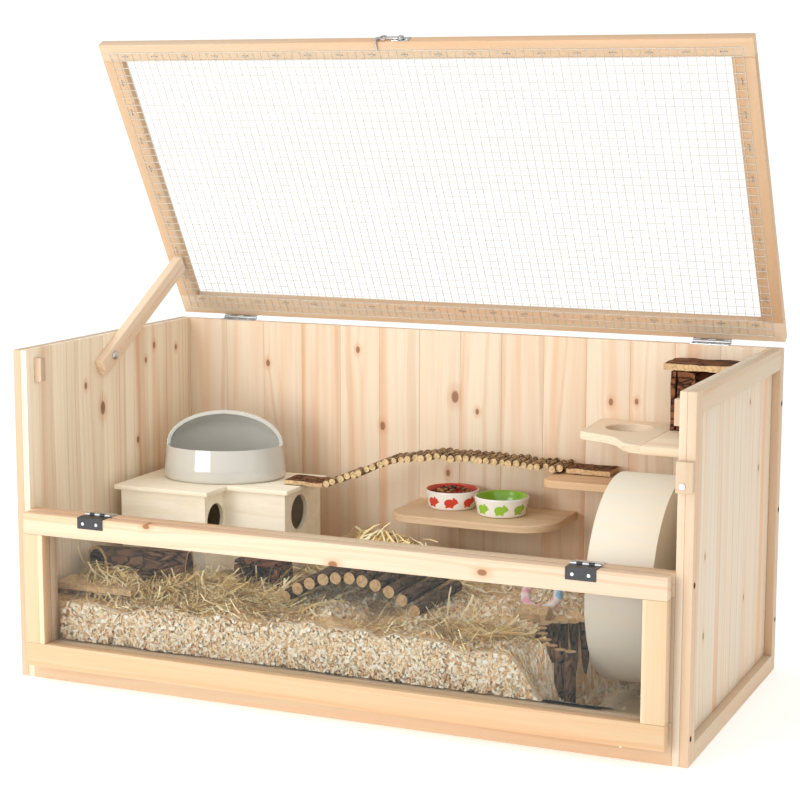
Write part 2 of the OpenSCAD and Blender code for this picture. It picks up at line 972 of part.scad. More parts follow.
// Board seen from above with two rounded front corners
module round_board(x0, x1, y0, y1, z, r0, r1) {
    translate([0, 0, z - shelf_t])
        linear_extrude(shelf_t)
            polygon(concat([[x1, y1], [x0, y1]],
                [for (a = [180 : 10 : 270]) [x0 + r0 + r0 * cos(a), y0 + r0 + r0 * sin(a)]],
                [for (a = [270 : 10 : 360]) [x1 - r1 + r1 * cos(a), y0 + r1 + r1 * sin(a)]]));
}

module bowl_shelf() {
    color("tan")
        difference() {
            round_board(-68, 194, 93, back_y, bowl_shelf_z, 42, 60);
            carcass_holes();
        }
}

module bridge_shelf() {
    color("tan")
        difference() {
            round_board(172, 305, 117, back_y, bridge_shelf_z, 20, 20);
            carcass_holes();
        }
}

// Two boards that meet on a seam; the left one has a round hole
module corner_shelf() {
    color("tan")
        difference() {
            union() {
                translate([0, 0, corner_shelf_z - shelf_t])
                    linear_extrude(shelf_t)
                        polygon([[228, back_y], [236, 108], [243, 102], [285, 84], [300, 72], [322, 36], [333, 27],
                            [shelf_seam_x, 24], [shelf_seam_x, back_y]]);
                block(shelf_seam_x + 0.3, in_x, 20, back_y, corner_shelf_z - shelf_t, corner_shelf_z);
            }
            translate([292, 165, corner_shelf_z - shelf_t - 1])
                cylinder(r = 34, h = shelf_t + 2, $fn = 64);
            carcass_holes();
        }
}

/* Twig bridge */

module bridge_end_plates() {
    color("sienna")
        union() {
            block(-226, -158, 64, 114, roof_z, roof_z + 9);
            block(191, 262, 173, 223, bridge_shelf_z, bridge_shelf_z + 10);
        }
}

module bridge_twigs() {
    c = walk_len(twig_walk);
    total = c[len(c) - 1];
    color("peru")
        union() {
            for (i = [0 : twigs - 1]) {
                p = walk_at(twig_walk, total * i / (twigs - 1), c);
                y = twig_y0 + (twig_y1 - twig_y0) * i / (twigs - 1);
                rod_y(p[0], y, y + twig_len, p[1], twig_d / 2, 24);
            }
        }
}

/* Feeding bowls */

module bowl(x, y) {
    base_r = bowl_r - 5;
    wall = 4;
    translate([x, y, bowl_shelf_z])
        rotate_extrude($fn = 64)
            polygon([[0, 0], [base_r - 2, 0], [base_r, 2], [bowl_r, bowl_h - 1.5], [bowl_r - 1.5, bowl_h],
                [bowl_r - wall + 1, bowl_h], [bowl_r - wall - 0.5, bowl_h - 2], [base_r - wall, 8],
                [base_r - wall - 4, 5], [0, 5]]);
}

module red_bowl() {
    color("tomato")
        bowl(6, 183);
}

module green_bowl() {
    color("yellowgreen")
        bowl(95, 163);
}

/* Bark house on the corner shelf */

module bark_house_roof() {
    color("saddlebrown")
        block(343, 476, 152, back_y - 1, 448, 461);
}

module bark_house_walls() {
    z0 = corner_shelf_z;
    z1 = 448;
    color("saddlebrown")
        union() {
            block(352, 362, 162, 222, z0, z1);
            block(460, 470, 162, 222, z0, z1);
            block(362, 460, 212, 222, z0, z1);
            block(362, 390, 162, 172, z0, z1);
            block(432, 460, 162, 172, z0, z1);
        }
}

/* Logs and bark on the litter */

module log_tunnel() {
    r = 27;
    color("saddlebrown")
        translate([-448, -112, litter_z + r])
            rotate([0, 0, 15])
                difference() {
                    rod_x(71, 0, 0, r, 142);
                    rod_x(71, 0, 0, r - 6, 150);
                    translate([0, 0, -r - 1])
                        rotate([0, 0, 42])
                            translate([-100, -60, 0])
                                cube([100, 120, 2 * r + 2]);
                }
}

function arch_z(x) = arch_top - pow(x - arch_x, 2) / arch_sag;

module log_bridge() {
    half = (bridge_logs - 1) / 2;
    color("saddlebrown")
        union() {
            for (i = [-half : half]) {
                x = arch_x + i * (20.4 - 0.05 * abs(i));
                rod_y(x, arch_y0, arch_y0 + log_len, arch_z(x), log_d / 2, 24);
            }
        }
}

module bark_fence() {
    sweep = 150;
    color("saddlebrown")
        union() {
            for (i = [0 : fence_slats - 1]) {
                a = 105 + sweep * i / (fence_slats - 1);
                translate([fence_x + fence_r * cos(a), fence_y + fence_r * sin(a), floor_t])
                    cylinder(r = slat_r, h = 112 - 6 * sin(37 * i), $fn = 32);
            }
        }
}

module plank_platform() {
    color("tan")
        union() {
            block(-474, -340, -195, -142, litter_z + 4, litter_z + 16);
            for (x = [-462, -360])
                block(x, x + 12, -192, -145, litter_z, litter_z + 4);
        }
}

module bark_hide() {
    z1 = litter_z + 44;
    color("saddlebrown")
        union() {
            block(-242, -230, -68, -14, litter_z, z1 - 8);
            block(-180, -168, -68, -14, litter_z, z1 - 8);
            block(-242, -168, -68, -14, z1 - 8, z1);
            block(-230, -180, -20, -14, litter_z, z1 - 8);
        }
}

// Grass rope ring leaning back, and a wooden gnawing block
module chew_toys() {
    color("khaki")
        union() {
            translate([226, -22, litter_z + 32.5])
                rotate([62, 0, 0])
                    rotate_extrude($fn = 48)
                        translate([24, 0])
                            circle(r = 7, $fn = 24);
            translate([206, -72, litter_z])
                rotate([90, 0, 90])
                    linear_extrude(44)
                        polygon([[0, 0], [30, 0], [30, 10], [15, 22], [0, 12]]);
        }
}

/* Litter */

module bedding() {
    color("bisque")
        difference() {
            union() {
                block(-in_x + 0.5, 318, front_y + door_t + 0.5, fence_y, floor_t, litter_z);
                block(-in_x + 0.5, 336, fence_y, back_y - 0.5, floor_t, litter_z);
            }
            translate([fence_x, fence_y, floor_t - 1])
                cylinder(r = fence_r + slat_r + 1, h = litter_h + 2, $fn = 96);
        }
}

module hay() {
    color("darkkhaki")
        union() {
            block(-292, -205, -180, -82, litter_z, litter_z + 28);
            block(-160, -5, 36, 84, litter_z, litter_z + 76);
            block(102, 190, -150, -42, litter_z, litter_z + 26);
            block(-474, -457, -72, -42, litter_z, litter_z + 40);
        }
}

floor_panel();
left_side_planks();
right_side_planks();
left_side_frame();
right_side_frame();
back_planks();
carcass_screws();
lower_front_rails();
lower_front_stiles();
lower_pane();
stop_blocks();
turn_button();
turn_button_screw();
flap_rails();
flap_stiles();
flap_pane();
flap_beads();
flap_keeper();
flap_hinge_fixed_leaves();
flap_hinge_moving_leaves();
flap_hinge_pins();
flap_screws();
carcass_hinge_screws();
lid_rails();
lid_side_rails();
lid_mesh();
lid_staples();
lid_hinge_fixed_leaves();
lid_hinge_moving_leaves();
lid_hinge_pins();
lid_screws();
latch_plate();
latch_hook();
prop_arm();
prop_bolt();
prop_nut();
wheel_band();
wheel_disc();
wheel_axle();
wheel_stand();
house_walls();
house_roofs();
sand_bath();
bowl_shelf();
bridge_shelf();
corner_shelf();
bridge_end_plates();
bridge_twigs();
red_bowl();
green_bowl();
bark_house_roof();
bark_house_walls();
log_tunnel();
log_bridge();
bark_fence();
plank_platform();
bark_hide();
chew_toys();
bedding();
hay();
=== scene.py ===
import bpy, bmesh, math, random
from mathutils import Matrix, Vector, noise


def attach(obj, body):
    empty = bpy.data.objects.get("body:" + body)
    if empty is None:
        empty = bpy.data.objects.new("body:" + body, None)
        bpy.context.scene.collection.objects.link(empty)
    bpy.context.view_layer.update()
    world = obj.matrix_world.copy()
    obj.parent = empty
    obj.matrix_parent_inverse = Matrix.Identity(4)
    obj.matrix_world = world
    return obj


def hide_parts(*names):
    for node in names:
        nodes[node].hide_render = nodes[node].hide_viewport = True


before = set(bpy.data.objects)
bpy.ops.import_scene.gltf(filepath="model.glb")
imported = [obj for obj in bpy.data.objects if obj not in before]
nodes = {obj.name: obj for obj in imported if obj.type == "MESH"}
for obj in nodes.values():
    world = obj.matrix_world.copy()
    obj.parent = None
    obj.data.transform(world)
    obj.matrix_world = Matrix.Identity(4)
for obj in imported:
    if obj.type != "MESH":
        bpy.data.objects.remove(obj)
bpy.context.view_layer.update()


# ---- The room the cage is shown in ----
# A plain pale floor that fades into a white surround, large soft lights from the upper left
# and low in front, a weak one from the right and a camera above the front right corner.

def tint(red, green, blue):
    """A colour given on the 0 to 255 scale, as the shaders want it."""
    return tuple(((c / 255 + 0.055) / 1.055) ** 2.4 if c > 10 else c / 3294.6
                 for c in (red, green, blue)) + (1.0,)


def darker(colour, share):
    return tuple(c * share for c in colour[:3]) + (1.0,)


class Stain:
    """A value or colour on its way through a material's nodes."""

    def __init__(self, socket):
        self.socket = socket
        self.tree = socket.id_data

    def node(self, kind, sockets={}, out=0, **settings):
        made = self.tree.nodes.new("ShaderNode" + kind)
        for name, value in settings.items():
            if name == "stops":
                bar = made.color_ramp.elements
                while len(bar) > 1:
                    bar.remove(bar[-1])
                bar[0].position, bar[0].color = value[0]
                for place, colour in value[1:]:
                    bar.new(place).color = colour
            else:
                setattr(made, name, value)
        for name, value in sockets.items():
            if isinstance(value, Stain):
                self.tree.links.new(value.socket, made.inputs[name])
            else:
                made.inputs[name].default_value = value
        return Stain(made.outputs[out])

    def math(self, operation, other=0.0, swap=False):
        if self.socket.type in ("VECTOR", "RGBA"):
            if operation == "MULTIPLY" and not isinstance(other, (Stain, tuple)):
                return self.node("VectorMath", {0: self, 3: other}, operation="SCALE")
            pair = {0: other, 1: self} if swap else {0: self, 1: other}
            return self.node("VectorMath", pair, operation=operation)
        pair = {0: other, 1: self} if swap else {0: self, 1: other}
        return self.node("Math", pair, operation=operation)

    def __add__(self, other): return self.math("ADD", other)
    __radd__ = __add__
    def __sub__(self, other): return self.math("SUBTRACT", other)
    def __rsub__(self, other): return self.math("SUBTRACT", other, swap=True)
    def __mul__(self, other): return self.math("MULTIPLY", other)
    __rmul__ = __mul__
    def __truediv__(self, other): return self.math("DIVIDE", other)
    def __rtruediv__(self, other): return self.math("DIVIDE", other, swap=True)
    def __pow__(self, other): return self.math("POWER", other)

    def least(self, other): return self.math("MINIMUM", other)
    def parts(self):
        """Its three coordinates."""
        return [Stain(end) for end in self.node("SeparateXYZ", {0: self}).socket.node.outputs]
    def step(self, low, high):
        return self.node("MapRange", {0: self, 1: low, 2: high, 3: 0.0, 4: 1.0}, interpolation_type="SMOOTHSTEP")
    def mix(self, first, second):
        """first where this is 0, second where it is 1."""
        return self.node("Mix", {0: self, 6: first, 7: second}, out=2, data_type="RGBA")
    def mottle(self, scale, detail=3.0, rough=0.5, warp=0.0):
        return self.node("TexNoise", {"Vector": self, "Scale": scale, "Detail": detail, "Roughness": rough,
                                      "Distortion": warp})


def finish(name, **constants):
    """A new material; returns it, the place on the piece in metres and its shader."""
    made = bpy.data.materials.new(name)
    made.use_nodes = True
    shader = made.node_tree.nodes["Principled BSDF"]
    for socket, value in constants.items():
        shader.inputs[socket.replace("_", " ")].default_value = value
    place = Stain(made.node_tree.nodes.new("ShaderNodeTexCoord").outputs["Object"])
    return made, place, shader


def into(shader, name, stain):
    shader.id_data.links.new(stain.socket, shader.inputs[name])


def relief(shader, height, strength, depth):
    into(shader, "Normal", height.node("Bump", {"Strength": strength, "Distance": depth, "Height": height}))


def piece(name, bm, body, materials, replaces=(), smooth=None, turn=None):
    """The finished mesh as a piece that rides on a body; flat faces meet smoothly below an angle."""
    if turn is not None:
        bmesh.ops.transform(bm, matrix=turn, verts=bm.verts)
    mesh = bpy.data.meshes.new(name)
    bm.to_mesh(mesh)
    bm.free()
    for m in materials if isinstance(materials, (list, tuple)) else [materials]:
        mesh.materials.append(m)
    made = bpy.data.objects.new(name, mesh)
    bpy.context.scene.collection.objects.link(made)
    if smooth is not None:
        mesh.shade_smooth()
        mesh.set_sharp_from_angle(angle=math.radians(smooth))
    if body:
        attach(made, body)
    if replaces:
        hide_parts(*replaces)
    return made


floor_paint, place, shader = finish("floor_paint", Roughness=0.85, Emission_Color=(1.0, 1.0, 1.0, 1.0),
                                    Emission_Strength=0.3)
into(shader, "Base Color", place.mottle(3.0).mix(tint(254, 254, 253), tint(252, 252, 251)))
bm = bmesh.new()
bmesh.ops.create_grid(bm, x_segments=2, y_segments=2, size=14.0)
ground = piece("studio_floor", bm, None, floor_paint)

world = bpy.data.worlds.new("surround")
bpy.context.scene.world = world
world.use_nodes = True
world.node_tree.nodes["Background"].inputs["Color"].default_value = (1.0, 0.995, 0.985, 1.0)
aim = Stain(world.node_tree.nodes.new("ShaderNodeTexCoord").outputs["Generated"])
overhead = 1.06 - aim.parts()[2].step(0.1, 0.6) * 0.30
world.node_tree.links.new(overhead.socket, world.node_tree.nodes["Background"].inputs["Strength"])
bpy.context.scene.view_settings.view_transform = "Standard"


def soft_light(name, where, towards, size, power, colour):
    lamp = bpy.data.lights.new(name, "AREA")
    lamp.shape, lamp.size, lamp.size_y, lamp.energy, lamp.color = "RECTANGLE", size, size, power, colour
    lit = bpy.data.objects.new(name, lamp)
    lit.location = where
    lit.rotation_euler = (Vector(towards) - Vector(where)).to_track_quat("-Z", "Y").to_euler()
    bpy.context.scene.collection.objects.link(lit)


soft_light("left_window", (-1.6, -2.2, 2.6), (0.0, 0.0, 0.2), 1.6, 20, (1.0, 0.985, 0.96))
soft_light("front_glow", (-0.9, -2.6, 0.6), (0.0, 0.0, 0.1), 1.2, 29, (1.0, 0.995, 0.985))
soft_light("right_fill", (2.6, -1.4, 1.6), (0.2, 0.0, 0.3), 2.0, 4, (0.97, 0.985, 1.0))

eye = bpy.data.cameras.new("eye")
eye.lens, eye.sensor_width, eye.sensor_fit = 87.6, 36.0, "HORIZONTAL"
eye.clip_end = 50.0
view = bpy.data.objects.new("eye", eye)
ahead = Vector((-0.3959, 0.9057, -0.1516)).normalized()
right = ahead.cross(Vector((0, 0, 1))).normalized()
above = right.cross(ahead)
lean = math.radians(0.10)
right, above = right * math.cos(lean) + above * math.sin(lean), above * math.cos(lean) - right * math.sin(lean)
view.matrix_world = (Matrix.Translation((1.110, -2.544, 0.831))
                     @ Matrix((right, above, -ahead)).transposed().to_4x4())
bpy.context.scene.collection.objects.link(view)
bpy.context.scene.camera = view


# ---- Side and back walls ----
# Upright spruce planks glued edge to edge, pale with pinkish heartwood and small brown knots.
# Each plank has softened edges, so that the joints show as fine grooves.

def spruce(name, along="z", knots=(), warm=0.45, turn=0.0, pale=tint(246, 229, 204)):
    """Planed softwood with its grain along one direction; knots are (across, along, radius)."""
    made, place, shader = finish(name, Roughness=0.6, Specular_IOR_Level=0.3)
    if turn:
        place = place.node("Mapping", {"Vector": place, "Rotation": (turn, 0.0, 0.0)})
    x, y, z = place.parts()
    own = place.node("Attribute", out=2, attribute_name="board")
    run, wide, deep = {"x": (x, z, y), "y": (y, z, x), "z": (z, x + y, y - x)}[along]
    shift = own * 7.31
    slow = place.node("CombineXYZ", {0: run * 1.3 + shift, 1: wide * 7.0 + shift, 2: deep * 7.0})
    wander = slow.mottle(1.6, 1.5) - 0.5
    near = None
    for across, length, radius in knots:
        spot = place.node("CombineXYZ", {0: wide, 1: run * 0.62, 2: 0.0})
        away = spot.node("VectorMath", {0: spot, 1: (across, length * 0.62, 0.0)}, out=1, operation="DISTANCE")
        away = away / radius
        near = away if near is None else near.least(away)
    sawn_at = own.node("TexWhiteNoise", {"W": own}, noise_dimensions="1D")
    age = wide + wander * 0.036 + sawn_at * 0.4 + deep * 0.4
    if near is not None:
        age = age + 0.011 / (near + 0.9)
    rings = age.node("TexNoise", {"W": age * 95.0, "Scale": 1.0, "Detail": 1.5, "Roughness": 0.45},
                     noise_dimensions="1D")
    late = rings.step(0.52, 0.70)
    fibre = place.node("CombineXYZ", {0: run * 9.0, 1: wide * 620.0, 2: deep * 620.0}).mottle(1.0, 2.0)
    heart = place.node("CombineXYZ", {0: run * 0.9 + shift * 1.7, 1: wide * 22.0 + shift * 3.0, 2: deep * 4.0})
    heart = heart.mottle(1.0, 2.0, 0.5, 0.6).step(0.48, 0.72) * warm
    plank = own.node("TexWhiteNoise", {"W": own * 3.7 + 0.5}, noise_dimensions="1D")
    colour = (plank * 0.45).mix(pale, tint(232, 210, 180))
    colour = heart.mix(colour, tint(222, 172, 130))
    colour = (late * 0.34).mix(colour, tint(204, 156, 112))
    colour = (fibre.step(0.45, 0.8) * 0.16).mix(colour, tint(196, 146, 104))
    height = late * 0.6 + fibre * 0.5
    if near is not None:
        halo = 1.0 - near.step(0.8, 2.7)
        colour = (halo * 0.36).mix(colour, tint(208, 142, 88))
        core = 1.0 - near.step(0.62, 1.05)
        colour = (core * 0.85).mix(colour, tint(140, 90, 55))
    into(shader, "Base Color", colour)
    into(shader, "Roughness", 0.52 + late * 0.12 + fibre * 0.08)
    relief(shader, height, 0.25, 0.0006)
    return made


def add_board(bm, box, edge=0.9, number=None):
    """A board of (x0, x1, y0, y1, z0, z1) in millimetres with its edges broken."""
    x0, x1, y0, y1, z0, z1 = box
    layer = bm.verts.layers.float.get("board") or bm.verts.layers.float.new("board")
    new = bmesh.ops.create_cube(bm, size=0.001)["verts"]
    bmesh.ops.scale(bm, vec=(x1 - x0, y1 - y0, z1 - z0), verts=new)
    bmesh.ops.translate(bm, vec=Vector((x0 + x1, y0 + y1, z0 + z1)) * 0.0005, verts=new)
    tag = number if number is not None else (round(x0 * 7 + y0 * 13 + z0 * 3) % 97) / 9.7
    for v in new:
        v[layer] = tag
    if edge:
        edges = list({e for v in new for e in v.link_edges})
        bmesh.ops.bevel(bm, geom=edges, offset=edge * 0.001, affect="EDGES", segments=2, profile=0.5, material=-1)


def boards(name, boxes, body, materials, replaces=(), edge=0.9, turn=None):
    bm = bmesh.new()
    for box in boxes:
        add_board(bm, box, edge)
    return piece(name, bm, body, materials, replaces, smooth=40, turn=turn)


room_x, plank_x, outer_x = 478, 488, 500        # inner face, back of the planks, frame
front_face, front_room, back_room, back_face, wall_top = -240, -222, 227, 240, 480
left_knots = [(-0.478 - 0.087, 0.409, 0.004), (-0.478 - 0.041, 0.369, 0.0075), (-0.478 + 0.113, 0.448, 0.004),
              (-0.478 + 0.087, 0.427, 0.0035), (-0.478 + 0.181, 0.437, 0.0035), (-0.478 + 0.059, 0.304, 0.004)]
right_knots = [(0.5 - 0.182, 0.445, 0.0036), (0.5 + 0.077, 0.421, 0.003), (0.5 + 0.138, 0.318, 0.0036),
               (0.5 - 0.148, 0.250, 0.003), (0.5 + 0.070, 0.145, 0.003), (0.5 - 0.147, 0.144, 0.0036)]
back_knots = [(0.227 - 0.334, 0.413, 0.004), (0.227 - 0.174, 0.443, 0.004), (0.227 - 0.008, 0.378, 0.007),
              (0.227 + 0.029, 0.357, 0.0035), (0.227 + 0.244, 0.386, 0.004), (0.227 + 0.284, 0.389, 0.0035),
              (0.227 - 0.131, 0.324, 0.005), (0.227 - 0.019, 0.257, 0.004)]
left_wall_wood = spruce("left_wall_spruce", "z", left_knots, 0.7, pale=tint(252, 236, 210))
right_wall_wood = spruce("right_wall_spruce", "z", right_knots, 0.75, pale=tint(222, 210, 190))
back_wall_wood = spruce("back_wall_spruce", "z", back_knots, 0.75, pale=tint(234, 216, 192))

steps = [front_face + i * 467 / 7 for i in range(7)] + [back_face]
for side, wood in ((-1, left_wall_wood), (1, right_wall_wood)):
    x0, x1 = sorted((side * room_x, side * plank_x))
    name = "left_side_planks" if side < 0 else "right_side_planks"
    boards(name + "_glued", [(x0, x1, a, b, 0, wall_top) for a, b in zip(steps, steps[1:])], "cage", wood, [name])
pitch = 2 * room_x / 14
boards("back_planks_glued", [(-room_x + i * pitch, -room_x + (i + 1) * pitch, back_room, back_face, 0, wall_top)
                             for i in range(14)], "cage", back_wall_wood, ["back_planks"])


# ---- Floor board and the outer frames of the side walls ----
# The floor is one board between the walls. Each side wall carries a frame of planed spruce
# laths: two stiles with a top and a bottom rail between them.

spruce_up = spruce("upright_spruce", "z", warm=0.45, pale=tint(198, 178, 154))
spruce_deep = spruce("front_to_back_spruce", "y", warm=0.4, pale=tint(202, 182, 156))
spruce_wide = spruce("lengthwise_spruce", "x", warm=0.4, pale=tint(204, 182, 154))
boards("floor_board", [(-room_x, room_x, front_room, back_room, 0, 10)], "cage", spruce_wide, ["floor_panel"], 0.5)
for side in (-1, 1):
    x0, x1 = sorted((side * plank_x, side * outer_x))
    name = "left_side_frame" if side < 0 else "right_side_frame"
    bm = bmesh.new()
    add_board(bm, (x0, x1, front_face, -212, 0, wall_top))
    add_board(bm, (x0, x1, 220, back_face, 0, wall_top))
    add_board(bm, (x0, x1, -212, 220, 450, wall_top))
    add_board(bm, (x0, x1, -212, 220, 0, 25))
    for face in bm.faces:
        if abs(face.calc_center_median().y) < 0.212:
            face.material_index = 1
    piece(name + "_laths", bm, "cage", [spruce_up, spruce_deep], [name], smooth=40)


# ---- Screws ----
# Countersunk steel screws hold the walls, shelves, hinges and the latch. Their heads are
# bright and a little brushed.

def metal(name, colour, rough, scratch=0.06, metallic=1.0):
    made, place, shader = finish(name, Metallic=metallic)
    worn = place.mottle(260.0, 3.0)
    into(shader, "Base Color", (worn.step(0.35, 0.75) * 0.5).mix(colour, darker(colour, 0.72)))
    into(shader, "Roughness", rough + worn * scratch)
    relief(shader, place.mottle(900.0, 2.0), 0.12, 0.0002)
    return made


def recoat(node, material):
    slots = nodes[node].data.materials
    slots.clear()
    slots.append(material)


screw_steel = metal("screw_steel", tint(214, 214, 214), 0.28)
zinc = metal("zinc_plate", tint(190, 192, 194), 0.30)
# A dark copy of the hinge steel: painted shade for the moving leaves of the flap hinges.
zinc_in_painted_shade = metal("hinge_steel_painted_shade", tint(74, 74, 76), 0.4)
bright = metal("bright_plate", tint(206, 206, 206), 0.16)
wire = metal("galvanised_wire", tint(216, 214, 206), 0.5, metallic=0.4)
for name in ("carcass_screws", "carcass_hinge_screws", "flap_screws", "lid_screws", "turn_button_screw"):
    recoat(name, screw_steel)


# ---- Fixed lower front ----
# A glued frame of spruce rails and stiles with a clear acrylic pane in a groove.

def clear_pane(name):
    made, place, shader = finish(name, Roughness=0.03, Specular_IOR_Level=0.6, Alpha=0.05)
    into(shader, "Base Color", place.mottle(2.0).mix(tint(90, 100, 100), tint(104, 114, 114)))
    return made


pane_clear = clear_pane("clear_acrylic")
boards("lower_front_rail_boards", [(-room_x, room_x, front_face, front_room, z0, z1)
                                   for z0, z1 in ((219, 250), (0, 57))],
       "cage", spruce_wide, ["lower_front_rails"])
boards("lower_front_stile_boards", [(x0, x1, front_face, front_room, 57, 219)
                                    for x0, x1 in ((-room_x, -446), (446, room_x))],
       "cage", spruce_up, ["lower_front_stiles"])
recoat("lower_pane", pane_clear)
boards("flap_stop_blocks", [(x0, x1, -221.5, -209.5, 433, 467) for x0, x1 in ((-room_x, -466), (466, room_x))],
       "cage", spruce_up, ["stop_blocks"])


# ---- Turn button ----
# A small planed block on one screw that turns over the shut flap.

def drill(made, centre, along, radius):
    """Bores a round hole right through a finished piece."""
    bm = bmesh.new()
    aim = Matrix.Translation(centre) @ Vector(along).to_track_quat("Z", "Y").to_matrix().to_4x4()
    bmesh.ops.create_cone(bm, cap_ends=True, segments=48, radius1=radius, radius2=radius, depth=0.06, matrix=aim)
    bit = piece("drill_bit", bm, None, made.data.materials[0])
    hole = made.modifiers.new("hole", "BOOLEAN")
    hole.object, hole.operation, hole.solver = bit, "DIFFERENCE", "EXACT"
    bpy.context.view_layer.update()
    cut = bpy.data.meshes.new_from_object(made.evaluated_get(bpy.context.evaluated_depsgraph_get()))
    made.modifiers.clear()
    made.data = cut
    cut.shade_smooth()
    cut.set_sharp_from_angle(angle=math.radians(40))
    bpy.data.objects.remove(bit)


button = boards("turn_button_block", [(477.5, 499.5, -250.3, -240.3, 354, 394)], "turn_button", spruce_up,
                ["turn_button"], 1.4)
drill(button, (0.4865, -0.2453, 0.363), (0, 1, 0), 0.00205)


# ---- Flap ----
# The same frame as the lower front with a pane and thin beads in front of it. It hangs on
# two steel hinges, folded down against the lower front.

flap_knots = [(0.247, -0.271, 0.004), (0.222, 0.016, 0.005), (0.232, 0.229, 0.005)]
flap_top = spruce("flap_top_spruce", "x", flap_knots, 0.55, pale=tint(220, 198, 174))
flap_low = spruce("flap_low_spruce", "x", warm=0.6, pale=tint(208, 174, 134))
boards("flap_top_rail", [(-475, 475, -264, -246, 219, 250)], "flap", flap_top, ["flap_rails"], 1.4)
boards("flap_low_rail", [(-475, 475, -264, -246, 25, 59)], "flap", flap_low, edge=1.4)
boards("flap_stile_boards", [(x0, x1, -264, -246, 59, 219) for x0, x1 in ((-475, -443), (443, 475))], "flap",
       spruce("flap_stile_spruce", "z", warm=0.5, pale=tint(214, 186, 150)),
       ["flap_stiles"], 1.1)
boards("flap_glazing_beads", [(x0, x1, -264.2, -257, 59, 219) for x0, x1 in ((-451, -443.1), (443.1, 451))], "flap",
       spruce("bead_spruce", "z", warm=0.2, pale=tint(226, 204, 170)), ["flap_beads"], 0.8)
recoat("flap_pane", pane_clear)
for name in ("flap_keeper", "flap_hinge_fixed_leaves", "flap_hinge_pins"):
    recoat(name, zinc)
# The moving leaves take the dark copy of the hinge steel, which is painted shade.
recoat("flap_hinge_moving_leaves", zinc_in_painted_shade)


# ---- Lid ----
# A flat spruce frame, open on its hinges, with half-inch welded wire mesh stapled under it.
# The rails run the full width, the side rails sit between them.

lid_open = 59.65
opened = math.radians(lid_open)
pin = Vector((0.0, 0.2438, 0.483))
lid_turn = Matrix.Translation(pin) @ Matrix.Rotation(-opened, 4, "X") @ Matrix.Translation(-pin)
lid_side_wood = spruce("lid_side_spruce", "y", warm=0.8, turn=opened, pale=tint(188, 152, 116))
lid_rail_wood = spruce("lid_rail_spruce", "x", warm=0.5, pale=tint(202, 178, 150))
boards("lid_rail_boards", [(-496, 500, 207, 241, 486, 500.5), (-496, 500, -253, -225, 486, 500.5)], "lid",
       lid_rail_wood, ["lid_rails"], 1.0, lid_turn)
boards("lid_side_rail_boards", [(-496, -464, -225, 207, 486, 500.5), (468, 500, -225, 207, 486, 500.5)], "lid",
       lid_side_wood, ["lid_side_rails"], 1.0, lid_turn)
recoat("lid_mesh", wire)
recoat("lid_staples", metal("staple_steel", tint(196, 194, 188), 0.4, metallic=0.6))
for name in ("lid_hinge_fixed_leaves", "lid_hinge_moving_leaves", "lid_hinge_pins"):
    recoat(name, zinc)
recoat("latch_plate", bright)
recoat("latch_hook", bright)


# ---- Prop arm ----
# A spruce lath bolted to the left wall that holds the lid up. Its upper end is rounded and
# it turns on a domed bolt with a nut outside.

arm_tilt = math.radians(90 - lid_open)
arm_pivot = Vector((-0.4777, -0.0555 + 0.033 * math.cos(arm_tilt), 0.432 + 0.033 * math.sin(arm_tilt)))
bm = bmesh.new()
add_board(bm, (0, 14, -33, 246.5, -13, 13), 0)
tip = [e for e in bm.edges if all(v.co.y > 0.24 for v in e.verts)
       and abs(e.verts[0].co.x - e.verts[1].co.x) > 0.01]
bmesh.ops.bevel(bm, geom=tip, offset=0.004, affect="EDGES", segments=6, profile=0.5, material=-1)
sharp = [e for e in bm.edges if e.calc_face_angle(0) > 1.0]
bmesh.ops.bevel(bm, geom=sharp, offset=0.0009, affect="EDGES", segments=2, profile=0.5, material=-1)
arm_wood = spruce("prop_arm_spruce", "y", warm=0.5, turn=-arm_tilt, pale=tint(242, 216, 188))
lath = piece("prop_arm_lath", bm, "prop_arm", arm_wood, ["prop_arm"], smooth=40,
             turn=Matrix.Translation(arm_pivot) @ Matrix.Rotation(arm_tilt, 4, "X"))
drill(lath, arm_pivot, (1, 0, 0), 0.00305)
recoat("prop_bolt", bright)
recoat("prop_nut", zinc)


# ---- Running wheel ----
# Thin plywood bent to a drum, closed at the right by a disc that turns on a bolt in an
# upright stand. The plywood is sanded and nearly white.

def plywood(name, face=tint(250, 240, 218), along=(0.0, 0.0, 0.0), rough=0.5, figured=0.6):
    made, place, shader = finish(name, Specular_IOR_Level=0.35)
    turned = place.node("Mapping", {"Vector": place, "Rotation": along, "Scale": (9.0, 90.0, 90.0)})
    figure = turned.mottle(1.0, 3.0, 0.55, 0.8)
    flecks = place.node("Mapping", {"Vector": place, "Rotation": along, "Scale": (60.0, 900.0, 900.0)})
    flecks = flecks.mottle(1.0, 1.0)
    colour = (figure.step(0.35, 0.75) * figured).mix(face, tint(240, 222, 190))
    colour = (flecks.step(0.62, 0.8) * figured * 0.5).mix(colour, tint(222, 194, 154))
    into(shader, "Base Color", colour)
    into(shader, "Roughness", rough + figure * 0.12)
    relief(shader, flecks + figure * 0.5, 0.14, 0.0004)
    return made


wheel_ply = plywood("wheel_plywood", tint(230, 222, 206), figured=0.4)
edge_ply = plywood("plywood_edge", tint(222, 190, 146), (0.0, 0.0, 1.2))
hub, wheel_wide, wheel_r, ply = Vector((0.343, -0.048, 0.192)), 90, 142, 3


def lathe(bm, axis, steps, closed=False):
    """Spins the outline in a bmesh right round; a closed outline loses its own face first."""
    if closed:
        bmesh.ops.delete(bm, geom=bm.faces[:], context="FACES_ONLY")
    bmesh.ops.spin(bm, geom=bm.verts[:] + bm.edges[:], cent=(0, 0, 0), axis=axis, angle=math.tau, steps=steps,
                   use_merge=True)
    bmesh.ops.remove_doubles(bm, verts=bm.verts, dist=0.00002)
    bmesh.ops.recalc_face_normals(bm, faces=bm.faces)


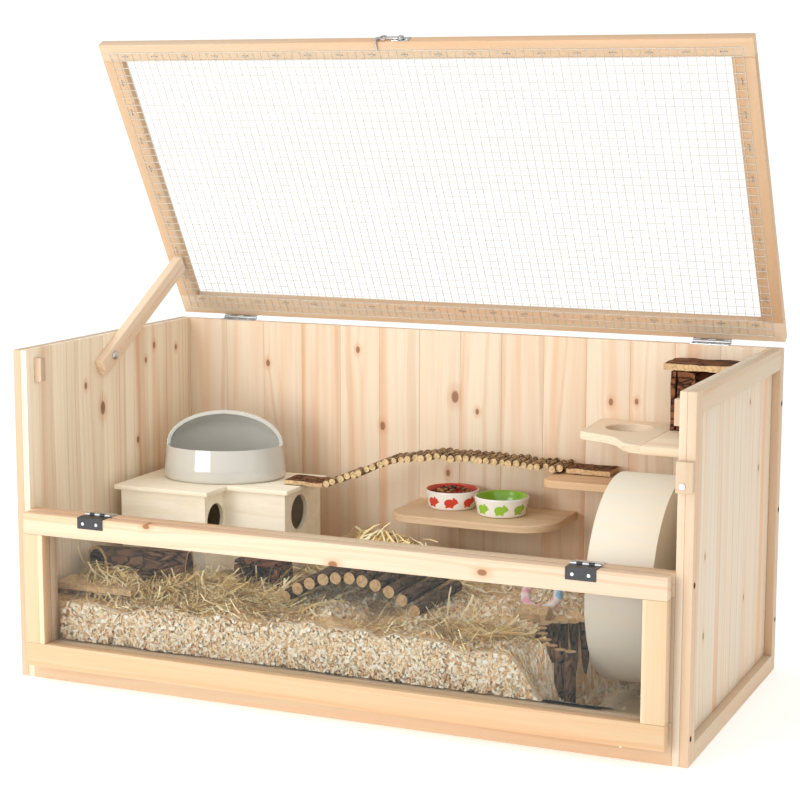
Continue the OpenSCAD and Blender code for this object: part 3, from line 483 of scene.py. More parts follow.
bm = bmesh.new()
rim = ((0, wheel_r), (wheel_wide, wheel_r), (wheel_wide, wheel_r - ply), (0, wheel_r - ply))
bm.faces.new([bm.verts.new(Vector((x, 0.0, r)) * 0.001) for x, r in rim])
bmesh.ops.bevel(bm, geom=bm.verts[:], offset=0.0007, affect="VERTICES", segments=2, profile=0.5, material=-1)
lathe(bm, (1, 0, 0), 144, closed=True)
piece("wheel_drum", bm, "wheel", wheel_ply, ["wheel_band"], smooth=50, turn=Matrix.Translation(hub))
recoat("wheel_disc", wheel_ply)
recoat("wheel_axle", zinc)
recoat("wheel_stand", plywood("stand_plywood", tint(244, 226, 190)))


# ---- House ----
# Two plywood rooms of different depth under two roof boards, slotted together. The front
# boards show the ends of the tabs; each room has a hole in its right wall.

house_ply = plywood("house_plywood", tint(255, 246, 226), figured=0.45)
recoat("house_walls", house_ply)
roofs = [(-462, -300, -40, 158, 244, 251), (-299.6, -196, 20, 158, 244, 251)]
boards("house_roof_boards", roofs, "cage", house_ply, ["house_roofs"], 0.8)
bm = bmesh.new()
for x in (-434, -319):
    add_board(bm, (x - 3, x + 3, -31.8, -31, 195, 222), 0.2)
piece("house_tab_ends", bm, "cage", edge_ply, smooth=40)


# ---- Sand bath ----
# A glazed stoneware tub with a half dome over its back, warm grey outside and a shade
# darker inside, with a thick rounded rim.

def glaze(name, colour):
    made, place, shader = finish(name, Roughness=0.08, Coat_Weight=0.7, Coat_Roughness=0.03)
    pool = place.mottle(28.0, 3.0)
    into(shader, "Base Color", (pool.step(0.3, 0.8) * 0.5).mix(colour, darker(colour, 0.92)))
    relief(shader, place.mottle(160.0, 2.0), 0.05, 0.0004)
    return made


def thrown(outline, steps):
    """Pottery from half its section, as (radius, height) in millimetres from the foot up."""
    bm = bmesh.new()
    line = [bm.verts.new(Vector((r, 0.0, z)) * 0.001) for r, z in outline]
    for a, b in zip(line, line[1:]):
        bm.edges.new((a, b))
    lathe(bm, (0, 0, 1), steps)
    return bm


def saw(bm, where, facing, **keep):
    """Cuts a mesh along a plane and gives back what lies on the cut."""
    return bmesh.ops.bisect_plane(bm, geom=bm.verts[:] + bm.edges[:] + bm.faces[:], plane_co=where,
                                  plane_no=facing, **keep)["geom_cut"]


grey_glaze = glaze("warm_grey_glaze", tint(208, 206, 198))
tub_rim, dome_lean = 0.0521, 0.02
outline = [(0.0, 0.0), (88, 0), (93, 2), (95.5, 6), (94.5, 20), (92.5, 36), (91, 52)]
outline += [(91 * math.cos(math.radians(a)), 52 + 53 * math.sin(math.radians(a))) for a in range(8, 90, 7)]
bm = thrown(outline + [(0.0, 105.4)], 96)
saw(bm, (0, -0.001, 0), (0, 1, dome_lean))
saw(bm, (0, 0, tub_rim), (0, 0, 1))
middles = {f: f.calc_center_median() for f in bm.faces}
away = [f for f, m in middles.items() if m.z > tub_rim and m.y + dome_lean * m.z < -0.001]
bmesh.ops.delete(bm, geom=away, context="FACES")
bmesh.ops.scale(bm, vec=(1.0, 0.75, 1.0), verts=bm.verts)
bmesh.ops.recalc_face_normals(bm, faces=bm.faces)
tub = piece("sand_bath_tub", bm, "cage", grey_glaze, ["sand_bath"], smooth=60,
            turn=Matrix.Translation((-0.338, 0.087, 0.251)) @ Matrix.Rotation(math.radians(20), 4, "Z"))
wall = tub.modifiers.new("wall", "SOLIDIFY")
wall.thickness, wall.offset = 0.0055, -1.0
lip = tub.modifiers.new("lip", "BEVEL")
lip.width, lip.segments, lip.limit_method, lip.angle_limit = 0.0022, 3, "ANGLE", math.radians(60)


# ---- Shelves ----
# Planed boards screwed to the walls from outside, with rounded front corners. The corner
# shelf is two boards that meet on a seam, the left one with a round hole.

shelf_wood = spruce("shelf_board", "x", [(0.2, 0.35, 0.004)], 0.9, pale=tint(226, 194, 154))
corner_wood = spruce("corner_shelf_board", "x", warm=0.5, pale=tint(250, 232, 206))


def outline_board(bm, points, z0, z1, number):
    """A board cut to an outline seen from above."""
    layer = bm.verts.layers.float.get("board") or bm.verts.layers.float.new("board")
    ring = [bm.verts.new((x * 0.001, y * 0.001, z0 * 0.001)) for x, y in points]
    for v in ring:
        v[layer] = number
    sheet = bm.faces.new(ring)
    sheet.normal_update()
    if sheet.normal.z > 0:
        sheet.normal_flip()
    lifted = bmesh.ops.extrude_face_region(bm, geom=[sheet])["geom"]
    tops = [v for v in lifted if isinstance(v, bmesh.types.BMVert)]
    bmesh.ops.translate(bm, vec=(0, 0, (z1 - z0) * 0.001), verts=tops)
    bmesh.ops.recalc_face_normals(bm, faces=bm.faces)


def arc(x, y, r, start, end, count=9):
    return [(x + r * math.cos(math.radians(a)), y + r * math.sin(math.radians(a)))
            for a in (start + (end - start) * i / (count - 1) for i in range(count))]


def soften(made, width=0.0009):
    edge = made.modifiers.new("softened", "BEVEL")
    edge.width, edge.segments, edge.limit_method, edge.angle_limit = width, 2, "ANGLE", math.radians(50)


for name, points, z0, number in (
        ("bowl_shelf", [(194, 227), (-68, 227)] + arc(-26, 135, 42, 180, 270) + arc(134, 153, 60, 270, 360),
         202, 1.3),
        ("bridge_shelf", [(305, 227), (172, 227)] + arc(192, 137, 20, 180, 270) + arc(285, 137, 20, 270, 360),
         269, 2.1)):
    bm = bmesh.new()
    outline_board(bm, points, z0, z0 + 12, number)
    soften(piece(name + "_board", bm, "cage", shelf_wood, [name], smooth=40), 0.0015)

bm = bmesh.new()
left_part = [(228, 227), (236, 108), (243, 102), (285, 84), (300, 72), (322, 36), (333, 27), (351, 24), (351, 227)]
outline_board(bm, left_part, 348, 360, 3.3)
left_leaf = piece("corner_shelf_left", bm, "cage", corner_wood, ["corner_shelf"], smooth=40)
drill(left_leaf, (0.292, 0.165, 0.354), (0, 0, 1), 0.034)
soften(left_leaf, 0.0012)
boards("corner_shelf_right", [(351.3, 478, 20, 227, 348, 360)], "cage", corner_wood, [], 1.2)


# ---- Feeding bowls ----
# Small glazed bowls, white outside with a row of plain hamster shapes, one red and one
# green inside. The red one holds mixed grain and pellets.

def bowl_glaze(name, colour, centre):
    made, place, shader = finish(name, Roughness=0.14, Coat_Weight=0.4, Coat_Roughness=0.06)
    x, y, z = (place - (centre[0], centre[1], 0.214)).parts()
    turn = y.math("ARCTAN2", x) * (8.0 / math.tau) + 0.2
    along = (turn - turn.math("FLOOR") - 0.56) * 0.0314
    shape = None
    for a, b, wide, tall in (          # body, head, ear, hind foot, fore foot, nose
            (0.0, 0.0125, 0.0086, 0.0068), (0.0078, 0.0148, 0.0046, 0.0048), (0.0064, 0.0196, 0.0017, 0.0021),
            (-0.005, 0.0062, 0.0023, 0.0014), (0.004, 0.0062, 0.0023, 0.0014), (0.0122, 0.0136, 0.0015, 0.0016)):
        near = (((along - a) / wide) ** 2.0 + ((z - b) / tall) ** 2.0) ** 0.5
        shape = near if shape is None else shape.least(near)
    away = (x ** 2.0 + y ** 2.0) ** 0.5
    outside = away.step(0.0335, 0.0345) * (away - z * 0.18 - 0.0352).step(-0.0006, 0.0002)
    motif = (1.0 - shape.step(0.96, 1.04))
    white = tint(246, 242, 234)
    colours = motif.mix(white, colour)
    into(shader, "Base Color", outside.mix(colour, colours))
    relief(shader, place.mottle(120.0, 2.0), 0.04, 0.0003)
    return made


def bowl(name, centre, colour, node):
    bm = thrown([(0, 0), (33, 0), (36, 1), (37.2, 3), (39.6, 16), (41.6, 26.5), (41.6, 28.2), (40.5, 29),
                 (39.2, 28.8), (37.8, 27), (35.6, 16), (33.2, 8.5), (29.5, 5.4), (0, 5)], 64)
    piece(name, bm, "cage", bowl_glaze(name + "_glaze", colour, centre), [node], smooth=60,
          turn=Matrix.Translation((centre[0], centre[1], 0.214)))


bowl("red_feeding_bowl", (0.006, 0.183), tint(214, 62, 44), "red_bowl")
bowl("green_feeding_bowl", (0.095, 0.163), tint(150, 200, 60), "green_bowl")

chance = random.Random(5)
bm = bmesh.new()
for i in range(150):
    away, around = 31 * math.sqrt(chance.random()), chance.uniform(0, math.tau)
    heap = 21 + 9 * (1 - (away / 33) ** 2) + chance.uniform(-2, 2)
    where = Vector((6 + away * math.cos(around), 183 + away * math.sin(around), 214 + heap)) * 0.001
    turn = Matrix.Rotation(chance.uniform(0, 3), 4, "Z") @ Matrix.Rotation(chance.uniform(-0.7, 0.7), 4, "X")
    before = len(bm.faces)
    shape = Matrix.Diagonal((chance.uniform(0.0024, 0.0046), chance.uniform(0.0018, 0.0026), 0.0016, 1.0))
    bmesh.ops.create_icosphere(bm, subdivisions=1, radius=1.0, matrix=Matrix.Translation(where) @ turn @ shape)
    bm.faces.ensure_lookup_table()
    kind = chance.choice((0, 0, 1, 2, 3))
    for face in bm.faces[before:]:
        face.material_index = kind


def feed(name, colour):
    made, place, shader = finish(name, Roughness=0.6)
    into(shader, "Base Color", place.mottle(500.0, 2.0).step(0.3, 0.7).mix(colour, darker(colour, 0.55)))
    relief(shader, place.mottle(900.0, 2.0), 0.3, 0.0004)
    return made


piece("mixed_feed", bm, "cage", [feed("grain", tint(214, 168, 92)), feed("pellet", tint(110, 66, 40)),
      feed("red_flake", tint(186, 62, 40)), feed("striped_seed", tint(60, 54, 50))], smooth=60)


# ---- Bark pieces: houses, plates, platform, hide and fence ----
# Slabs of wood with the bark left on, dark red-brown with lighter worn patches and deep
# cracks. The fence is a row of half-round slats with pale cut tops.

def bark(name, dark=tint(74, 46, 32), light=tint(158, 112, 78), scale=1.0, stretch=(1.0, 1.0, 0.35)):
    made, place, shader = finish(name, Roughness=0.85, Specular_IOR_Level=0.2)
    cell = place.node("Mapping", {"Vector": place, "Scale": tuple(s * 90.0 * scale for s in stretch)})
    flakes = cell.node("TexVoronoi", {"Vector": cell + cell.mottle(1.2, 3.0) * 1.3, "Scale": 1.0}, feature="F1")
    cracks = cell.node("TexVoronoi", {"Vector": cell + cell.mottle(1.0, 3.0) * 1.6, "Scale": 0.8},
                       feature="DISTANCE_TO_EDGE")
    worn = place.mottle(34.0 * scale, 4.0, 0.6).step(0.45, 0.68)
    fine = place.mottle(420.0 * scale, 3.0)
    colour = (flakes * 0.8).mix(dark, light)
    colour = (worn * 0.7).mix(colour, light)
    colour = (fine * 0.4).mix(colour, tint(52, 34, 26))
    # The cracks are painted near-black: partly the bark's own darker furrows, partly painted shade in them.
    into(shader, "Base Color", (1.0 - cracks.step(0.0, 0.12)).mix(colour, tint(34, 22, 16)))
    relief(shader, cracks.step(0.0, 0.25) + flakes * 0.5 + fine * 0.4, 0.8, 0.0016)
    return made


def cut_wood(name, middle):
    """The sawn end of a stick, its colour mottled darker by noise that stands for the rings."""
    made, place, shader = finish(name, Roughness=0.75)
    rings = place.mottle(260.0, 3.0)
    into(shader, "Base Color", rings.step(0.35, 0.7).mix(middle, darker(middle, 0.62)))
    relief(shader, rings, 0.3, 0.0004)
    return made


raw_wood = cut_wood("raw_bark_slab_wood", tint(222, 186, 138))
house_bark = bark("house_bark", tint(78, 42, 28), tint(170, 112, 74), 0.9, (0.4, 1.0, 1.0))
plate_bark = bark("plate_bark", tint(92, 54, 34), tint(178, 124, 82), 1.0)


noise.seed_set(1)       # vector noise takes its seed from the clock otherwise


def rugged(bm, amount, scale, seed=0.0):
    """Roughs up a bark slab; its outline stays within the amount."""
    for v in bm.verts:
        shift = noise.noise_vector(v.co * scale + Vector((seed, 0, 0)))
        v.co += shift * amount


def slab(name, boxes, body, material, replaces, amount=0.0015, cut=7.0, sawn=None):
    """Bark slabs; with a second material their upright edges show the sawn wood."""
    bm = bmesh.new()
    for x0, x1, y0, y1, z0, z1 in boxes:
        part = bmesh.new()
        g = amount * 1000
        add_board(part, (x0 + g, x1 - g, y0 + g, y1 - g, z0 + (0 if z0 in (118, 360) else g), z1 - g), 0)
        for axis, low, high in ((0, x0, x1), (1, y0, y1), (2, z0, z1)):
            for k in range(1, max(1, round((high - low) / cut))):
                spot = Vector((0, 0, 0))
                spot[axis] = (low + k * cut) * 0.001
                normal = Vector((0, 0, 0))
                normal[axis] = 1.0
                saw(part, spot, normal)
        if sawn:
            part.normal_update()
            for face in part.faces:
                face.material_index = 1 if abs(face.normal.z) < 0.5 else 0
        rugged(part, amount, 60.0, x0)
        mesh = bpy.data.meshes.new("part")
        part.to_mesh(mesh)
        part.free()
        bm.from_mesh(mesh)
        bpy.data.meshes.remove(mesh)
    return piece(name, bm, body, [material, sawn] if sawn else material, replaces, smooth=55)


slab("bark_house_roof_slab", [(343, 476, 152, 226, 448, 461)], "cage", house_bark, ["bark_house_roof"], 0.002,
     sawn=raw_wood)
slab("bark_house_wall_slabs", [(x0, x1, y0, y1, 360, 448) for x0, x1, y0, y1 in (
     (352, 362, 162, 222), (460, 470, 162, 222), (362, 460, 212, 222), (362, 390, 162, 172), (432, 460, 162, 172))],
     "cage", house_bark, ["bark_house_walls"])
slab("bridge_bark_plates", [(-226, -158, 64, 114, 251, 260), (191, 262, 173, 223, 281, 291)], "cage", plate_bark,
     ["bridge_end_plates"], 0.0015, sawn=raw_wood)
slab("bark_platform", [(-474, -340, -195, -142, 122, 134), (-462, -450, -192, -145, 118, 122),
     (-360, -348, -192, -145, 118, 122)], "cage", cut_wood("platform_wood", tint(226, 192, 144)), ["plank_platform"])
slab("bark_hide_slabs", [(-242, -230, -68, -14, 118, 154), (-180, -168, -68, -14, 118, 154),
     (-242, -168, -68, -14, 154, 162), (-230, -180, -20, -14, 118, 154)], "cage", house_bark, ["bark_hide"])


def stick(bm, start, end, radius, sides=14, rings=6, amount=0.06, seed=0.0):
    """A rough round stick from ring to ring; its sawn ends are the second material."""
    start, end = Vector(start) * 0.001, Vector(end) * 0.001
    run = end - start
    aim = run.to_track_quat("Z", "Y").to_matrix().to_4x4()
    new = bmesh.ops.create_circle(bm, cap_ends=True, segments=sides, radius=radius * 0.001,
                                  matrix=Matrix.Translation(start) @ aim)["verts"]
    face = new[0].link_faces[0]
    first, made = face, list(new)
    for i in range(rings):
        grown = bmesh.ops.extrude_face_region(bm, geom=[face])["geom"]
        tops = [g for g in grown if isinstance(g, bmesh.types.BMVert)]
        bmesh.ops.translate(bm, vec=run / rings, verts=tops)
        if i and face.is_valid:
            bm.faces.remove(face)
        face = [g for g in grown if isinstance(g, bmesh.types.BMFace)][0]
        made += tops
    first.material_index = face.material_index = 1
    for v in made:
        along = (v.co - start).dot(run) / run.length_squared
        middle = start + run * along
        out = v.co - middle
        v.co = middle + out * (1 - amount + amount * noise.noise(v.co * 130.0 + Vector((seed, seed, 0))))


log_bark = bark("log_bark", tint(70, 50, 38), tint(140, 108, 82), 1.6, (1.0, 0.3, 1.0))
log_end = cut_wood("log_end", tint(214, 178, 128))
bm = bmesh.new()
for i in range(-5, 6):
    x = -20 + i * (20.4 - 0.05 * abs(i))
    top = 170 - (x + 20) ** 2 / 282
    stick(bm, (x, -140 + chance.uniform(0, 4), top), (x, 22 - chance.uniform(0, 4), top), 9.1, 16, 7, 0.05, i)
bmesh.ops.recalc_face_normals(bm, faces=bm.faces)
piece("arched_log_bridge", bm, "cage", [log_bark, log_end], ["log_bridge"], smooth=50)

fence_bark = bark("fence_bark", tint(84, 56, 38), tint(166, 124, 88), 1.3, (1.0, 1.0, 0.3))
bm = bmesh.new()
for i in range(14):
    a = math.radians(105 + 150 * i / 13)
    x, y = 346 + 88 * math.cos(a), -98 + 88 * math.sin(a)
    stick(bm, (x, y, 10), (x, y, 122 - 6 * math.sin(math.radians(37 * i))), 8.5, 14, 6, 0.08, i)
bmesh.ops.recalc_face_normals(bm, faces=bm.faces)
piece("slat_fence", bm, "cage", [fence_bark, log_end], ["bark_fence"], smooth=50)

tunnel_bark = bark("tunnel_bark", tint(76, 52, 38), tint(152, 112, 80), 1.2, (0.3, 1.0, 1.0))
bm = bmesh.new()
tube_end, outer_r, inner_r = 142, 26.4, 21
wall = ((-40, outer_r), (tube_end, outer_r), (tube_end, inner_r), (-40, inner_r))
bm.faces.new([bm.verts.new((x * 0.001, 0.0, r * 0.001)) for x, r in wall])
lathe(bm, (1, 0, 0), 48, closed=True)
for x in range(-24, tube_end, 9):
    saw(bm, (x * 0.001, 0, 0), (1, 0, 0))
slant = (math.cos(math.radians(42)), math.sin(math.radians(42)), 0)
cut = saw(bm, (0, 0, 0), slant, clear_inner=True)
bmesh.ops.bridge_loops(bm, edges=[e for e in cut if isinstance(e, bmesh.types.BMEdge)])
bmesh.ops.recalc_face_normals(bm, faces=bm.faces)
for face in bm.faces:
    face.material_index = 1 if face.normal.x > 0.95 or face.normal.dot(Vector(slant)) < -0.95 else 0
rugged(bm, 0.0009, 70.0, 4.0)
piece("hollow_log_tunnel", bm, "cage", [tunnel_bark, raw_wood], ["log_tunnel"], smooth=50,
      turn=Matrix.Translation((-0.448, -0.112, 0.145)) @ Matrix.Rotation(math.radians(15), 4, "Z"))


# ---- Hanging twig bridge ----
# Peeled and unpeeled twigs strung side by side from the house roof to the bridge shelf,
# each with pale sawn ends.

twig_bark = bark("twig_bark", tint(166, 130, 94), tint(216, 182, 140), 2.2, (1.0, 0.3, 1.0))
twig_end = cut_wood("twig_end", tint(232, 200, 150))
walk = [(-151, 258), (-104, 277), (-56, 297), (17, 303), (92, 297), (145, 292), (184, 289)]
spans = [math.dist(a, b) for a, b in zip(walk, walk[1:])]
bm = bmesh.new()
for i in range(34):
    left, k = sum(spans) * i / 33, 0
    while k < len(spans) - 1 and left > spans[k]:
        left -= spans[k]
        k += 1
    share = left / spans[k]
    x, z = (walk[k][n] + (walk[k + 1][n] - walk[k][n]) * share for n in (0, 1))
    y = 65 + 108 * i / 33
    z += chance.uniform(-1.5, 1.5)
    near, far = y - chance.uniform(0, 9), y + 52 - chance.uniform(-1.5, 2)
    stick(bm, (x, near, z), (x, far, z), chance.uniform(4.9, 6.2), 12, 5, 0.05, i * 3.1)
bmesh.ops.recalc_face_normals(bm, faces=bm.faces)
piece("hanging_twigs", bm, "cage", [twig_bark, twig_end], ["bridge_twigs"], smooth=50)


# ---- Toys ----
# A pastel rope ring and a gnawing block of plain wood.

rope, place, shader = finish("pastel_rope", Roughness=0.8)
lay = place.node("TexWave", {"Vector": place, "Scale": 26.0, "Distortion": 2.0}, bands_direction="DIAGONAL")
into(shader, "Base Color", lay.node("ValToRGB", {0: place.mottle(46.0, 1.0)}, stops=[(0.3, tint(242, 238, 232)),
     (0.44, tint(240, 158, 176)), (0.55, tint(246, 240, 230)), (0.66, tint(140, 186, 222))]))
relief(shader, lay, 0.6, 0.001)
bm = bmesh.new()
ring_r, rope_r = 0.024, 0.0068
bmesh.ops.create_circle(bm, segments=16, radius=rope_r,
                        matrix=Matrix.Translation((ring_r, 0, 0)) @ Matrix.Rotation(math.pi / 2, 4, "X"))
lathe(bm, (0, 0, 1), 56)
piece("rope_ring", bm, "cage", rope, ["chew_toys"], smooth=60,
      turn=Matrix.Translation((0.226, -0.022, 0.1460)) @ Matrix.Rotation(math.radians(50), 4, "X"))
bm = bmesh.new()
rows = [(0, 0), (30, 0), (30, 10), (15, 22), (0, 12)]
sheet = bm.faces.new([bm.verts.new((0.206, (-72 + a) * 0.001, (118 + b) * 0.001)) for a, b in rows])
grown = bmesh.ops.extrude_face_region(bm, geom=[sheet])["geom"]
bmesh.ops.translate(bm, vec=(0.044, 0, 0), verts=[v for v in grown if isinstance(v, bmesh.types.BMVert)])
bmesh.ops.recalc_face_normals(bm, faces=bm.faces)
soften(piece("gnawing_block", bm, "cage", log_end, smooth=40), 0.0012)


# ---- Wood shavings ----
# A deep bed of pale soft curls, heaped in the middle and trodden down in front of the wheel.
# The bed is a rolling surface and thousands of small curled flakes lie on it.

fence_x, fence_y = 0.346, -0.098


def bed(x, y):
    """Height of the shavings in metres at a place in metres."""
    high = 0.110 + 0.010 * math.exp(-((x - 0.02) / 0.22) ** 2) + 0.013 * noise.noise(Vector((x, y, 0)) * 13)
    high += 0.007 * noise.noise(Vector((x, y, 3)) * 40)
    ring = math.hypot(x - fence_x, y - fence_y)
    by_pane = min(1.0, max(0.0, (-0.15 - y) / 0.05))
    fall = min(1.0, max(0.0, (x - 0.305 + 0.06 * by_pane) / (0.045 + 0.045 * by_pane)))
    low = max(fall * fall * (3 - 2 * fall), min(1.0, max(0.0, (0.088 - ring) / 0.010)))
    high += (0.018 + 0.003 * noise.noise(Vector((x, y, 7)) * 30) - high) * low
    return high


shavings, place, shader = finish("wood_shavings", Roughness=0.8, Specular_IOR_Level=0.2)
grit = place.mottle(190.0, 4.0, 0.65)
curl = place.node("TexVoronoi", {"Vector": place, "Scale": 210.0}, feature="F1")
tone = place.mottle(26.0, 3.0)
colour = grit.step(0.3, 0.72).mix(tint(226, 178, 124), tint(254, 226, 180))
colour = (tone.step(0.4, 0.7) * 0.3).mix(colour, tint(236, 198, 150))
into(shader, "Base Color", ((1.0 - curl.step(0.0, 0.55)) * 0.35).mix(colour, tint(255, 240, 208)))
relief(shader, grit + curl * 0.7, 0.9, 0.003)

bm = bmesh.new()
bmesh.ops.create_grid(bm, x_segments=240, y_segments=110, size=0.5,
                      matrix=Matrix.Translation((-0.0005, 0.0, 0)) @ Matrix.Diagonal((0.953, 0.443, 1, 1)))
bmesh.ops.translate(bm, vec=(0, 0.004, 0), verts=bm.verts)
for v in bm.verts:
    v.co.z = bed(v.co.x, v.co.y)
rim_edges = [e for e in bm.edges if e.is_boundary]
skirt = bmesh.ops.extrude_edge_only(bm, edges=rim_edges)["geom"]
low = [v for v in skirt if isinstance(v, bmesh.types.BMVert)]
for v in low:
    v.co.z = 0.0105
bmesh.ops.holes_fill(bm, edges=[e for e in bm.edges if e.is_boundary], sides=0)
bmesh.ops.recalc_face_normals(bm, faces=bm.faces)
piece("shavings_bed", bm, "cage", shavings, ["bedding"], smooth=60)


def scatter(name, material, handful, places, ground_height, body="cage"):
    """Copies one handful of loose bits to many places, each turned, and lays them on the ground."""
    bm = bmesh.new()
    clump = bpy.data.meshes.new("handful")
    handful.to_mesh(clump)
    handful.free()
    for x, y, turn, size in places:
        before = len(bm.verts)
        bm.from_mesh(clump)
        bm.verts.ensure_lookup_table()
        c, s = math.cos(turn) * size, math.sin(turn) * size
        for v in bm.verts[before:]:
            px, py = v.co.x * c - v.co.y * s + x, v.co.x * s + v.co.y * c + y
            v.co = Vector((px, py, v.co.z * size + ground_height(px, py)))
    bpy.data.meshes.remove(clump)
    return piece(name, bm, body, material)


def flake_handful(count, reach, long, wide, seed):
    """Curled flakes: short strips of three faces that bend out of their plane."""
    pick = random.Random(seed)
    bm = bmesh.new()
    tone = bm.verts.layers.float.new("tone")
    for i in range(count):
        length, width = long * pick.uniform(0.5, 1.2), wide * pick.uniform(0.5, 1.2)
        where = Vector((pick.uniform(-reach, reach), pick.uniform(-reach, reach), pick.uniform(0.0, 0.004)))
        turn = (Matrix.Rotation(pick.uniform(0, math.tau), 4, "Z") @ Matrix.Rotation(pick.gauss(0, 0.7), 4, "X")
                @ Matrix.Rotation(pick.gauss(0, 0.6), 4, "Y"))
        bend, shade = pick.uniform(0.4, 2.2), pick.random()
        rails = []
        for k in range(4):
            a = (k / 3 - 0.5) * bend
            spot = Vector((length * math.sin(a) / max(bend, 0.1), 0, length * (1 - math.cos(a)) / max(bend, 0.1)))
            rails.append([bm.verts.new(where + turn @ (spot + Vector((0, s * width / 2, 0)))) for s in (-1, 1)])
            for v in rails[-1]:
                v[tone] = shade
        for a, b in zip(rails, rails[1:]):
            bm.faces.new((a[0], a[1], b[1], b[0]))
    return bm


def spread(count, x0, x1, y0, y1, seed, keep=lambda x, y: True):
    pick = random.Random(seed)
    out = []
    while len(out) < count:
        x, y = pick.uniform(x0, x1), pick.uniform(y0, y1)
        if keep(x, y):
            out.append((x, y, pick.uniform(0, math.tau), pick.uniform(0.8, 1.15)))
    return out


def clear_of_house(x, y):
    return not (x < -0.19 and y > -0.02) and math.hypot(x - fence_x, y - fence_y) > 0.02


pale_flake, place, shader = finish("pale_flakes", Roughness=0.75, Specular_IOR_Level=0.25)
shade = place.node("Attribute", out=2, attribute_name="tone") + (place.mottle(240.0, 2.0) - 0.5) * 0.4
into(shader, "Base Color", shade.node("ValToRGB", {0: shade}, stops=[(0.05, tint(238, 194, 146)),
     (0.30, tint(252, 222, 178)), (0.55, tint(255, 240, 208)), (0.85, tint(255, 250, 232))]))
relief(shader, place.mottle(700.0, 2.0), 0.3, 0.0005)
scatter("flakes_on_the_slope", pale_flake, flake_handful(90, 0.014, 0.0098, 0.0042, 6),
        spread(60, 0.235, 0.345, -0.206, -0.150, 9), lambda x, y: bed(x, y) - 0.001)
scatter("loose_flakes", pale_flake, flake_handful(90, 0.026, 0.0098, 0.0042, 2),
        spread(250, -0.450, 0.450, -0.204, 0.200, 8, clear_of_house), lambda x, y: bed(x, y) - 0.001)
front = flake_handful(120, 0.023, 0.0100, 0.0044, 4)
bmesh.ops.rotate(front, cent=(0, 0, 0), matrix=Matrix.Rotation(math.pi / 2, 3, "X"), verts=front.verts)
piled = bpy.data.meshes.new("pile")
front.to_mesh(piled)
front.free()
bm = bmesh.new()
pick = random.Random(12)
pane_face, pile_back, rail_top, opening, handfuls = -0.2283, -0.2150, 0.0585, 0.444, 120
for i in range(handfuls):
    x, z = -0.42 + 0.80 * (i + 0.5) / handfuls, pick.uniform(0.062, 0.118)
    before = len(bm.verts)
    bm.from_mesh(piled)
    bm.verts.ensure_lookup_table()
    side, back = pick.choice((-1, 1)), pick.uniform(0.0, 0.006)
    for v in bm.verts[before:]:
        px = min(max(v.co.x * side + x, -opening), opening)
        top = max(bed(px, -0.2195) + 0.002, rail_top)
        v.co = Vector((px, min(pane_face + abs(v.co.y) + back, pile_back), min(max(v.co.z + z, rail_top), top)))
bpy.data.meshes.remove(piled)
piece("flakes_against_the_pane", bm, "cage", pale_flake)


# ---- Hay ----
# Heaps of dry meadow hay, greenish straw blades thrown loosely over the shavings and the
# house yard.

straw, place, shader = finish("dry_hay", Roughness=0.65, Specular_IOR_Level=0.3)
shade = place.node("Attribute", out=2, attribute_name="tone") + (place.mottle(60.0, 2.0) - 0.5) * 0.25
into(shader, "Base Color", shade.node("ValToRGB", {0: shade}, stops=[(0.05, tint(164, 132, 70)),
     (0.35, tint(220, 180, 108)), (0.65, tint(250, 218, 150)), (0.90, tint(255, 244, 200))]))
relief(shader, place.mottle(500.0, 2.0), 0.2, 0.0005)


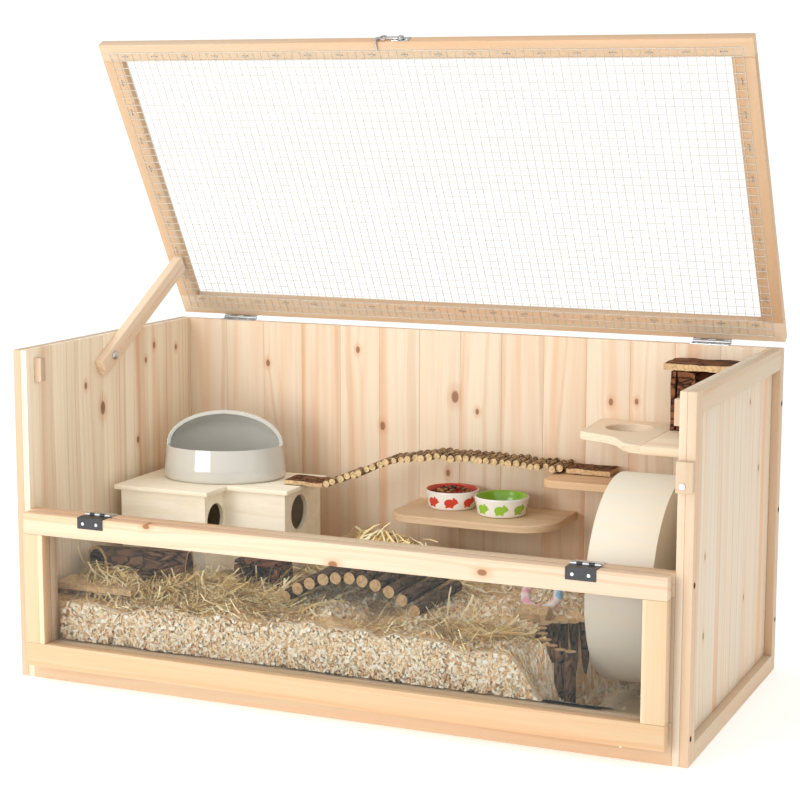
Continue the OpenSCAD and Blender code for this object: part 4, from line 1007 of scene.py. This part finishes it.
def hay_handful(count, reach, high, seed):
    """Blades of hay: thin ribbons of six faces along a loose curve."""
    pick = random.Random(seed)
    bm = bmesh.new()
    tone = bm.verts.layers.float.new("tone")
    for i in range(count):
        stout = i % 4 == 0
        length = pick.uniform(0.055, 0.105) if stout else pick.uniform(0.028, 0.075)
        width = pick.uniform(0.0014, 0.0024) if stout else pick.uniform(0.0005, 0.0011)
        shade = pick.uniform(0.6, 1.0) if stout else pick.uniform(0.0, 0.75)
        heading, lift = pick.uniform(0, math.tau), pick.gauss(0.0, 0.16)
        spot = Vector((pick.gauss(0, reach * 0.5), pick.gauss(0, reach * 0.5), abs(pick.gauss(0, high * 0.5))))
        bend, sag = pick.gauss(0, 0.35), pick.gauss(0, 0.16)
        rails = []
        for k in range(7):
            way = Vector((math.cos(heading) * math.cos(lift), math.sin(heading) * math.cos(lift), math.sin(lift)))
            side = Vector((-math.sin(heading), math.cos(heading), 0.35)).normalized() * width / 2
            rails.append([bm.verts.new(spot - side), bm.verts.new(spot + side)])
            for v in rails[-1]:
                v[tone] = shade
            spot = spot + way * (length / 6)
            heading += bend / 2
            lift += sag / 2
        for a, b in zip(rails, rails[1:]):
            bm.faces.new((a[0], a[1], b[1], b[0]))
    for v in bm.verts:
        v.co.z = max(v.co.z, 0.0003)
    return bm


def heap(cx, cy, wide, deep, high):
    def rise(x, y):
        d = ((x - cx) / wide) ** 2 + ((y - cy) / deep) ** 2
        return bed(x, y) + max(0.0, high * (1 - d))
    return rise


def hay_heap(name, cx, cy, wide, deep, high, count, seed, loft=0.012, replaces=()):
    keep = lambda x, y: ((x - cx) / wide) ** 2 + ((y - cy) / deep) ** 2 < 1
    spots = spread(count, cx - wide, cx + wide, cy - deep, cy + deep, seed, keep)
    made = scatter(name, straw, hay_handful(70, 0.022, loft, seed), spots, heap(cx, cy, wide, deep, high))
    for v in made.data.vertices:
        v.co.x = min(max(v.co.x, -0.4765), 0.4765)
        v.co.y = min(max(v.co.y, -0.2215), 0.2265)
    if replaces:
        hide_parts(*replaces)


hay_heap("hay_by_the_tunnel", -0.235, -0.135, 0.115, 0.062, 0.022, 32, 21, replaces=["hay"])
hay_heap("hay_under_the_shelf", -0.060, 0.062, 0.125, 0.036, 0.062, 34, 22)
hay_heap("hay_in_front_of_the_bridge", 0.19, -0.150, 0.060, 0.035, 0.006, 8, 23, 0.006)
hay_heap("hay_in_the_left_corner", -0.44, -0.04, 0.030, 0.055, 0.020, 9, 24)
hay_heap("hay_over_the_platform", -0.400, -0.150, 0.065, 0.040, 0.034, 8, 26, 0.010)
hay_heap("hay_wisps", -0.02, -0.17, 0.24, 0.035, 0.003, 8, 25, 0.005)
